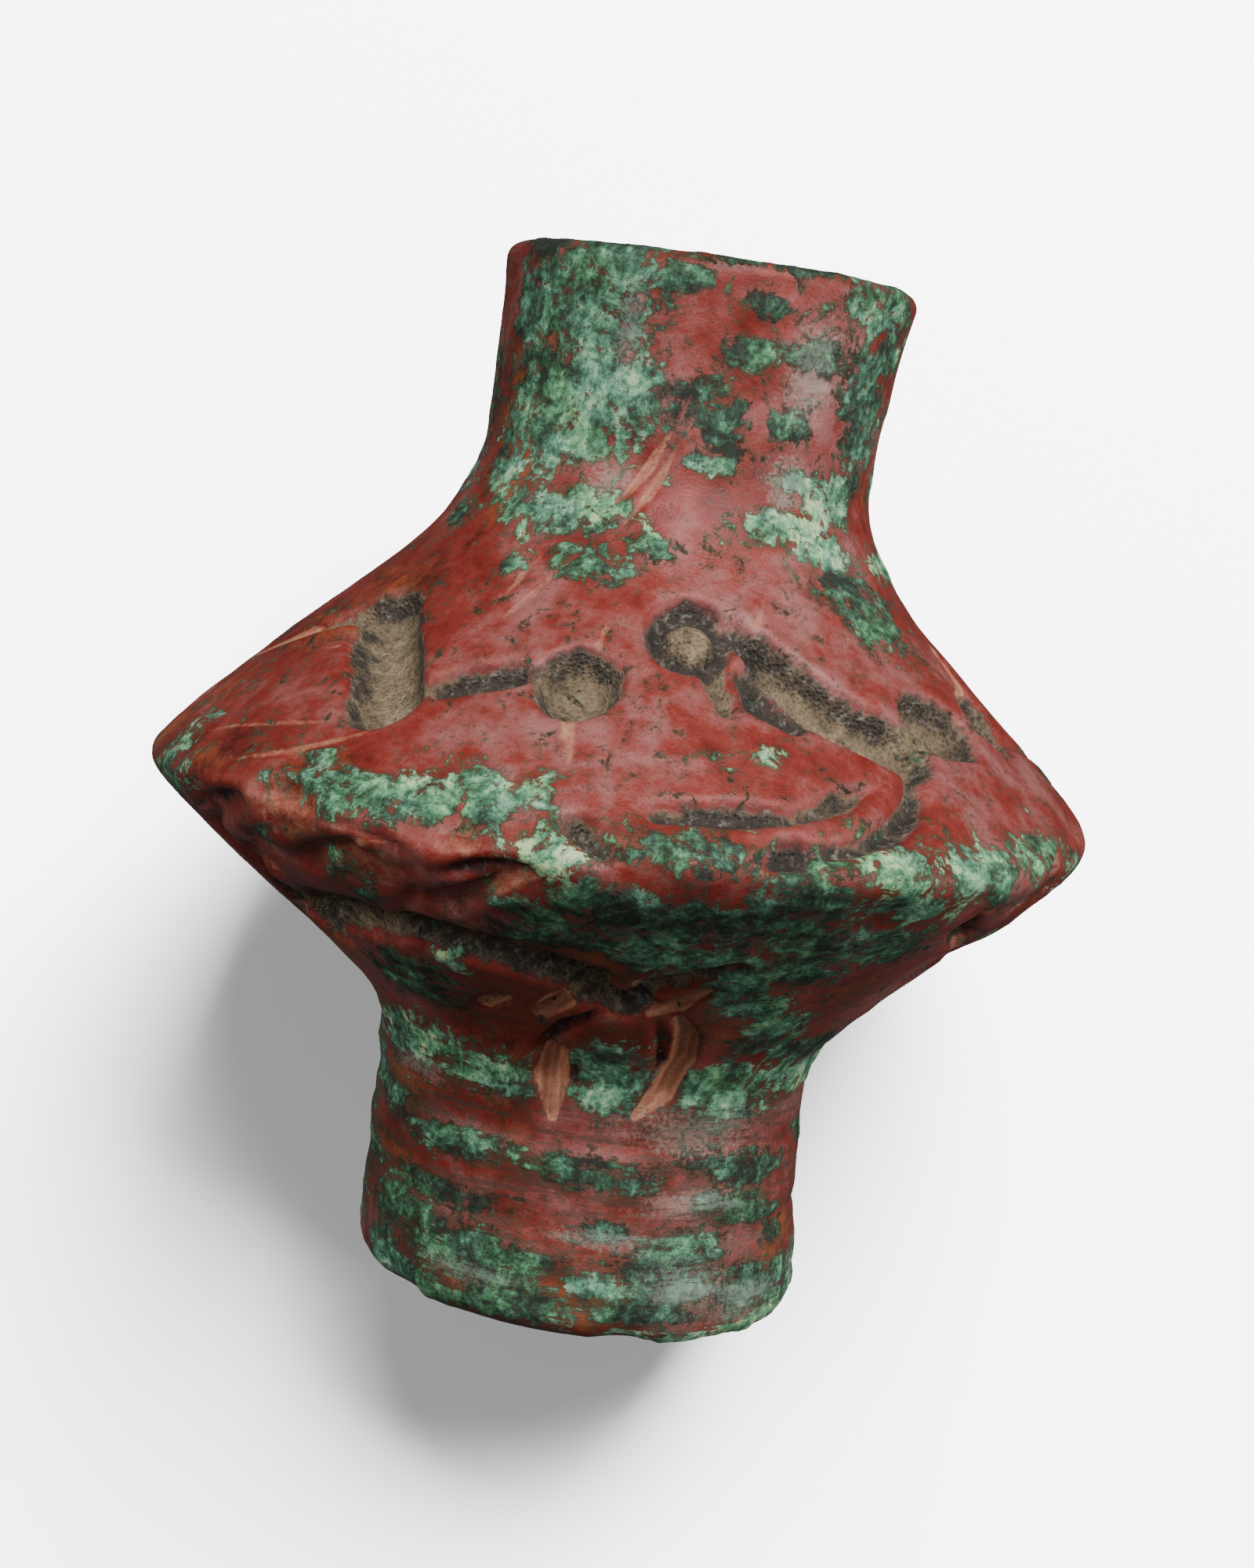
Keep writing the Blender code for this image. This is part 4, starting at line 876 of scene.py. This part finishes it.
# %% Helpers for nodes
class Graph:
    """Adds nodes to a tree and links them. A value is a number, a colour or a socket."""

    def __init__(self, tree):
        self.tree = tree

    def plug(self, socket, value):
        if isinstance(value, bpy.types.NodeSocket):
            self.tree.links.new(value, socket)
        else:
            socket.default_value = value

    def node(self, kind, output, inputs, **settings):
        made = self.tree.nodes.new(kind)
        for name, value in settings.items():
            setattr(made, name, value)
        for name, value in inputs.items():
            self.plug(made.inputs[name], value)
        return made.outputs[output]

    def measure(self, name):
        return self.node("ShaderNodeAttribute", "Fac", {}, attribute_name=name)

    def maths(self, operation, first, second=0.0, third=0.0):
        return self.node("ShaderNodeMath", 0, {0: first, 1: second, 2: third}, operation=operation)

    def plus(self, first, second):
        return self.maths("ADD", first, second)

    def times(self, first, second):
        return self.maths("MULTIPLY", first, second)

    def swing(self, noise, reach):
        """Stretches a noise to a reach and centres it, so that its middle adds nothing."""
        return self.maths("MULTIPLY_ADD", noise, reach, -reach / 2)

    def blend(self, share, first, second):
        """Mixes two numbers."""
        return self.node("ShaderNodeMix", "Result", {"Factor": share, "A": first, "B": second})

    def noise(self, place, scale, detail=4.0, roughness=0.6, distortion=0.0):
        return self.node("ShaderNodeTexNoise", "Fac", {
            "Vector": place, "Scale": scale, "Detail": detail, "Roughness": roughness,
            "Distortion": distortion,
        })

    def step(self, value, low, high, to_low=0.0, to_high=1.0):
        return self.node("ShaderNodeMapRange", "Result", {
            "Value": value, "From Min": low, "From Max": high, "To Min": to_low, "To Max": to_high,
        }, interpolation_type="SMOOTHSTEP")

    def mix(self, share, first, second, blend="MIX"):
        """Mixes two colours. This node keeps its colour sockets at places 6 and 7."""
        mixed = self.tree.nodes.new("ShaderNodeMix")
        mixed.data_type, mixed.blend_type = "RGBA", blend
        for place, value in ((0, share), (6, first), (7, second)):
            self.plug(mixed.inputs[place], value)
        return mixed.outputs[2]

    def ramp(self, value, *stops):
        made = self.tree.nodes.new("ShaderNodeValToRGB")
        elements = made.color_ramp.elements
        while len(elements) < len(stops):
            elements.new(0.5)
        for element, (place, colour) in zip(elements, stops):
            element.position, element.color = place, (*colour, 1.0)
        self.plug(made.inputs[0], value)
        return made.outputs[0]

    def group(self, tree, **inputs):
        made = self.tree.nodes.new("ShaderNodeGroup")
        made.node_tree = tree
        for name, value in inputs.items():
            self.plug(made.inputs[name.replace("_", " ").capitalize()], value)
        return made.outputs


def new_group(name, inputs, outputs):
    """An empty node group, its graph, its input sockets and its output node."""
    tree = bpy.data.node_groups.new(name, "ShaderNodeTree")
    for socket, kind in inputs.items():
        tree.interface.new_socket(socket, in_out="INPUT", socket_type=kind)
    for socket, kind in outputs.items():
        tree.interface.new_socket(socket, in_out="OUTPUT", socket_type=kind)
    given, result = tree.nodes.new("NodeGroupInput"), tree.nodes.new("NodeGroupOutput")
    return tree, Graph(tree), given.outputs, result.inputs


NUMBER, COLOUR, VECTOR = "NodeSocketFloat", "NodeSocketColor", "NodeSocketVector"
print("helpers ready")

# %% [markdown]
# Old buried copper is covered by a thin skin of red oxide. It is brick red with mauve where
# it is thicker and orange where it has been rubbed, in cloudy patches about a millimetre
# across, with a fine dark grain. The group mixes the three reds by two noises and the warmth
# it is given, whose mauve end is partly a painted sheen.

# %% Group: red oxide
oxide, g, given, result = new_group(
    "red oxide", {"Place": VECTOR, "Warmth": NUMBER},
    {"Colour": COLOUR, "Roughness": NUMBER, "Height": NUMBER},
)
ORANGE_RED, DARK_SPECK = (0.240, 0.058, 0.018, 1.0), (0.036, 0.010, 0.007, 1.0)
cloud = g.noise(given["Place"], 0.50, 5.0, 0.62, 0.4)
mottle = g.noise(given["Place"], 2.2, 8.0, 0.74)
grain = g.noise(given["Place"], 16.0, 3.0, 0.6)
tone = g.plus(g.times(cloud, 0.64), g.times(mottle, 0.36))
tone = g.plus(tone, g.maths("MULTIPLY_ADD", given["Warmth"], -0.22, 0.08))
reds = g.ramp(
    tone, (0.36, (0.056, 0.008, 0.005)), (0.44, (0.132, 0.013, 0.009)),
    (0.52, (0.172, 0.022, 0.016)), (0.66, (0.230, 0.084, 0.075)),
)
orange = g.step(g.plus(given["Warmth"], g.times(mottle, 0.6)), 0.74, 1.02, 0.0, 0.85)
reds = g.mix(orange, reds, ORANGE_RED)
speck = g.step(g.plus(g.times(grain, 0.6), g.times(mottle, 0.4)), 0.56, 0.66, 0.0, 0.7)
g.plug(result["Colour"], g.mix(speck, reds, DARK_SPECK))
g.plug(result["Roughness"], g.step(mottle, 0.3, 0.7, 0.32, 0.54))
g.plug(result["Height"], g.plus(g.times(mottle, 0.6), g.times(grain, 0.4)))
print("group:", oxide.name)

# %% [markdown]
# The green crust is a mineral and quite dull. One patch can go from a dark teal stain through
# leaf green to a pale mint that is nearly chalk, with cream flecks. A wide noise makes some
# patches leafier than others. The crust is crumbly, so its height has small pits.

# %% Group: green crust
crust_group, g, given, result = new_group(
    "green crust", {"Place": VECTOR, "Light": NUMBER}, {"Colour": COLOUR, "Height": NUMBER}
)
patchy = g.noise(given["Place"], 1.3, 6.0, 0.70, 0.5)
crumb = g.noise(given["Place"], 5.0, 7.0, 0.76)
tone = g.plus(g.maths("MULTIPLY_ADD", given["Light"], 0.70, 0.07), g.swing(patchy, 2.6))
tone = g.plus(tone, g.swing(crumb, 1.9))
greens = g.ramp(
    tone, (0.00, (0.010, 0.016, 0.010)), (0.20, (0.018, 0.044, 0.026)), (0.42, (0.038, 0.108, 0.062)),
    (0.62, (0.084, 0.210, 0.128)), (0.82, (0.165, 0.335, 0.210)), (1.00, (0.390, 0.470, 0.285)),
)
leafy = g.step(g.noise(given["Place"], 0.62, 4.0, 0.60, 0.6), 0.42, 0.62, 0.0, 0.6)
LESS_BLUE = (0.90, 1.00, 0.66, 1.0)
g.plug(result["Colour"], g.mix(leafy, greens, LESS_BLUE, blend="MULTIPLY"))
g.plug(result["Height"], g.plus(g.times(patchy, 0.4), g.times(crumb, 0.6)))
print("group:", crust_group.name)

# %% [markdown]
# The drilled pits are still full of what they were buried in, a tan grit whose grains show as
# light and dark specks. Small cells give the grains, and a noise makes them cake together.
# Where the grit lies low it is darkened, as painted shade.

# %% Group: packed grit
grit_group, g, given, result = new_group(
    "packed grit", {"Place": VECTOR, "Sunk": NUMBER}, {"Colour": COLOUR, "Height": NUMBER}
)
grains = g.node("ShaderNodeTexVoronoi", "Distance", {"Vector": given["Place"], "Scale": 12.0})
caked = g.noise(given["Place"], 2.6, 7.0, 0.72)
tone = g.plus(g.times(grains, 0.22), g.times(caked, 0.86))
earths = g.ramp(
    tone, (0.34, (0.030, 0.022, 0.014)), (0.47, (0.112, 0.080, 0.046)),
    (0.58, (0.170, 0.122, 0.070)), (0.76, (0.270, 0.205, 0.130)),
)
# Painted shade for grit that lies low in a pit.
SHADED_EARTH = (0.020, 0.016, 0.012, 1.0)
g.plug(result["Colour"], g.mix(g.times(given["Sunk"], 0.35), earths, SHADED_EARTH))
g.plug(result["Height"], g.plus(g.times(grains, 0.5), g.times(caked, 0.5)))
print("group:", grit_group.name)

# %% [markdown]
# The material lays these over each other as they lie on the metal: the red skin, rubbed edges
# that are partly worn and partly a painted highlight, lighter copper where it is cut or chipped
# that is partly bare metal and partly painted light on the walls, grit in the pits, black on
# the steep walls that is partly soot and partly painted shade, the crust, and a little pale
# dust that is partly painted sheen on top. The crust's edge takes a fine noise, so it frays at a
# smaller scale than the mesh's points.

# %% The seal's material
# Colours are linear red, green and blue, and opacity.
COPPER_SHADE, COPPER_SHINE = (0.240, 0.070, 0.034, 1.0), (0.560, 0.280, 0.160, 1.0)
RUBBED_AND_LIT_RED, TARNISH = (0.360, 0.130, 0.095, 1.0), (0.030, 0.034, 0.022, 1.0)
DARK_STAIN, PALE_DUST_AND_SHEEN = (0.040, 0.038, 0.019, 1.0), (0.280, 0.305, 0.250, 1.0)
# The first is black for soot and for painted shade on steep walls, the second light specks of mineral grains
# with painted glints.
SOOT_AND_SHADE, PAINTED_GLINT = (0.012, 0.010, 0.009, 1.0), (0.150, 0.138, 0.118, 1.0)

copper = bpy.data.materials.new("weathered_copper")
copper.use_nodes = True
g = Graph(copper.node_tree)
shader = copper.node_tree.nodes["Principled BSDF"]
place = g.node("ShaderNodeMapping", "Vector", {
    "Vector": g.node("ShaderNodeTexCoord", "Object", {}), "Location": tuple(RIDGE_CENTRE * MM),
    "Rotation": (TILT - math.pi / 2, 0.0, 0.0), "Scale": (MM, MM, MM),
}, vector_type="TEXTURE")
banded = g.node("ShaderNodeMapping", "Vector", {"Vector": place, "Scale": (0.45, 0.45, 3.6)})
neck = g.measure("neck")
fray = g.noise(place, 3.6, 7.0, 0.74)
broken = g.noise(place, 1.5, 9.0, 0.76, 0.8)
bands = g.noise(banded, 1.0, 8.0, 0.76, 0.3)
breakup = g.blend(g.maths("MULTIPLY_ADD", neck, 0.55, 0.15), broken, bands)
smear = g.noise(place, 2.4, 5.0, 0.58)
# Painted shade on steep walls, mixed with soot in dark cuts.
shade_and_soot_now = g.step(g.plus(g.measure("wall"), g.swing(smear, 1.5)), 0.22, 0.80)
grit_now = g.step(g.plus(g.measure("grit"), g.swing(smear, 1.0)), 0.35, 0.65)
# Lighter copper in cuts and chips: partly bare metal, partly painted light on cut walls.
bare_and_lit_now = g.step(g.plus(g.measure("clean"), g.swing(fray, 0.8)), 0.30, 0.70)
crusted = g.plus(g.times(g.measure("crust"), 0.86), g.swing(breakup, 4.2))
crusted = g.plus(crusted, g.swing(fray, 2.2))
crust_now = g.step(crusted, 0.38, 0.66)
stain = g.times(g.step(crusted, 0.0, 0.50), g.maths("SUBTRACT", 1.0, crust_now))
speckle = g.noise(place, 9.0, 6.0, 0.80)
# Pale dust and painted sheen.
dust_and_sheen_level = g.plus(g.times(g.measure("dust_and_sheen"), 0.9), g.swing(speckle, 2.2))
dust_and_sheen_level = g.plus(dust_and_sheen_level, g.swing(bands, 1.8))
red = g.group(oxide, place=place, warmth=g.measure("warmth"))
green = g.group(crust_group, place=place, light=g.measure("crust_light"))
earth = g.group(grit_group, place=place, sunk=g.measure("sunk"))
# Lines along a graver's stroke repeat with the distance from its middle.
furrows = g.maths("SINE", g.plus(g.times(g.measure("off_line"), 34.0), g.times(fray, 9.0)))
# Rubbed edges, partly worn and partly a painted highlight.
rubbed_and_lit = g.times(g.measure("worn_and_lit"), g.step(fray, 0.35, 0.62))
dark_bands = g.times(neck, g.step(bands, 0.42, 0.52, 1.0, 0.0))
# The lighter copper of cut walls, partly bare metal and partly painted light, striped in shade and shine by
# the furrows.
bare_and_lit_copper = g.mix(g.maths("MULTIPLY_ADD", furrows, 0.24, 0.5), COPPER_SHADE, COPPER_SHINE)
# The dark look: painted shade and soot, flecked with painted glints.
soot_and_shade_look = g.mix(g.step(g.noise(place, 5.0, 5.0, 0.68), 0.50, 0.72), SOOT_AND_SHADE, PAINTED_GLINT)

# From the metal outwards, each look covers its share of the ones below it.
colour = red["Colour"]
for share, look in (
    (g.times(rubbed_and_lit, 0.4), RUBBED_AND_LIT_RED),
    (g.times(dark_bands, 0.65), TARNISH),
    (g.times(stain, 0.66), DARK_STAIN),
    (g.times(bare_and_lit_now, 0.66), bare_and_lit_copper),
    (grit_now, earth["Colour"]),
    (g.times(shade_and_soot_now, 0.86), soot_and_shade_look),
    (crust_now, green["Colour"]),
    (g.step(dust_and_sheen_level, 0.35, 1.05, 0.0, 0.38), PALE_DUST_AND_SHEEN),
):
    colour = g.mix(share, colour, look)
g.plug(shader.inputs["Base Color"], colour)

dull = g.maths("MAXIMUM", g.maths("MAXIMUM", grit_now, shade_and_soot_now), g.times(crust_now, 0.6))
g.plug(shader.inputs["Roughness"], g.blend(dull, red["Roughness"], 0.84))
g.plug(shader.inputs["Metallic"], g.times(g.maths("SUBTRACT", 1.0, dull), 0.10))
g.plug(shader.inputs["Specular IOR Level"], 0.30)
height = g.blend(grit_now, red["Height"], earth["Height"])
height = g.times(height, g.maths("MULTIPLY_ADD", grit_now, 1.6, 0.5))
height = g.plus(height, g.times(furrows, g.times(bare_and_lit_now, 0.07)))
height = g.plus(height, g.times(g.plus(green["Height"], 0.4), crust_now))
bump = g.node("ShaderNodeBump", "Normal", {"Height": height, "Strength": 0.65, "Distance": 0.10 * MM})
g.plug(shader.inputs["Normal"], bump)
seal.data.materials.append(copper)
print("nodes in the material:", len(copper.node_tree.nodes))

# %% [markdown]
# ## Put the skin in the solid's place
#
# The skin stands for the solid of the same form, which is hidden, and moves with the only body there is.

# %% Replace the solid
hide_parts("seal")
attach(seal, "root")

# %% [markdown]
# ## Floor, camera and light
#
# The photo shows the seal on white, seen square to its axis. The camera stands where the one
# that took the upper view stood: 59 mm from the middle of the ridge, a little above its
# plane, and turned so that the narrow neck leans to the right. The key lamp is broad and
# comes from the top of the picture, a little from the right, which leaves a soft shadow
# below. Three weaker lamps fill in the seal alone, and one lights the floor alone, so that
# the ground is as white as the photo's.

# %% Floor
HALF_FLOOR = 1.5
CORNERS = ((-1, -1), (1, -1), (1, 1), (-1, 1))
floor_mesh = bpy.data.meshes.new("floor")
floor_mesh.from_pydata([(x * HALF_FLOOR, y * HALF_FLOOR, 0.0) for x, y in CORNERS], [], [(0, 1, 2, 3)])
floor = bpy.data.objects.new("floor", floor_mesh)
bpy.context.scene.collection.objects.link(floor)
paper = bpy.data.materials.new("pale_floor")
paper.use_nodes = True
paper_shader = paper.node_tree.nodes["Principled BSDF"]
paper_shader.inputs["Base Color"].default_value = (0.92, 0.92, 0.92, 1.0)
paper_shader.inputs["Roughness"].default_value = 0.95
paper_shader.inputs["Emission Color"].default_value = (1.0, 1.0, 1.0, 1.0)
paper_shader.inputs["Emission Strength"].default_value = 0.30
floor_mesh.materials.append(paper)
# No light comes back up from this floor, so the underside of the seal stays as dark as in
# the photo.
floor.visible_diffuse = False
floor.visible_glossy = False

# %% Camera
DISTANCE, RISE, ROLL = 59.2, math.radians(7.74), math.radians(7.96)
FRAME_WIDTH = 29.6
SENSOR = 36.0
to_world = Matrix(lean_over.tolist())
centre = Vector(RIDGE_CENTRE)
back = to_world @ Vector((0.0, -math.cos(RISE), math.sin(RISE)))
right = Vector((1.0, 0.0, 0.0))
up = back.cross(right)
turned_right = math.cos(ROLL) * right + math.sin(ROLL) * up
turned_up = math.cos(ROLL) * up - math.sin(ROLL) * right
camera_data = bpy.data.cameras.new("camera")
camera_data.sensor_fit = "HORIZONTAL"
camera_data.sensor_width = SENSOR
camera_data.lens = SENSOR * DISTANCE / FRAME_WIDTH
camera_data.clip_start = 0.001
camera = bpy.data.objects.new("camera", camera_data)
bpy.context.scene.collection.objects.link(camera)
axes = Matrix((turned_right, turned_up, back)).transposed()
camera.matrix_world = Matrix.Translation((centre + DISTANCE * back) * MM) @ axes.to_4x4()
bpy.context.scene.camera = camera
print("camera, mm:", [round(value, 1) for value in centre + DISTANCE * back])


# %% Lights
def soft_box(name, place, size, power):
    """A square lamp that faces the middle of the seal. Place and size are in millimetres."""
    lamp = bpy.data.lights.new(name, "AREA")
    lamp.shape = "SQUARE"
    lamp.size = size * MM
    lamp.energy = power
    holder = bpy.data.objects.new(name, lamp)
    bpy.context.scene.collection.objects.link(holder)
    holder.location = Vector(place) * MM
    holder.rotation_euler = (centre * MM - holder.location).to_track_quat("-Z", "Y").to_euler()
    return holder


def light_only(lamps, thing):
    """Lets some lamps light one thing and nothing else."""
    receivers = bpy.data.collections.new(thing.name + "_only")
    receivers.objects.link(thing)
    for lamp in lamps:
        lamp.light_linking.receiver_collection = receivers


soft_box("key_light", (95.0, 155.0, 330.0), size=130.0, power=2.00)
fills = [
    soft_box("left_light", (-240.0, 55.0, 240.0), size=120.0, power=0.86),
    soft_box("right_light", (300.0, 10.0, 110.0), size=90.0, power=0.76),
    soft_box("front_light", (20.0, -30.0, 340.0), size=150.0, power=0.26),
]
light_only(fills, seal)
light_only([soft_box("ground_light", (80.0, 200.0, 300.0), size=240.0, power=11.0)], floor)
world = bpy.data.worlds.new("studio")
world.use_nodes = True
world.node_tree.nodes["Background"].inputs["Color"].default_value = (1.0, 1.0, 1.0, 1.0)
world.node_tree.nodes["Background"].inputs["Strength"].default_value = 0.10
bpy.context.scene.world = world
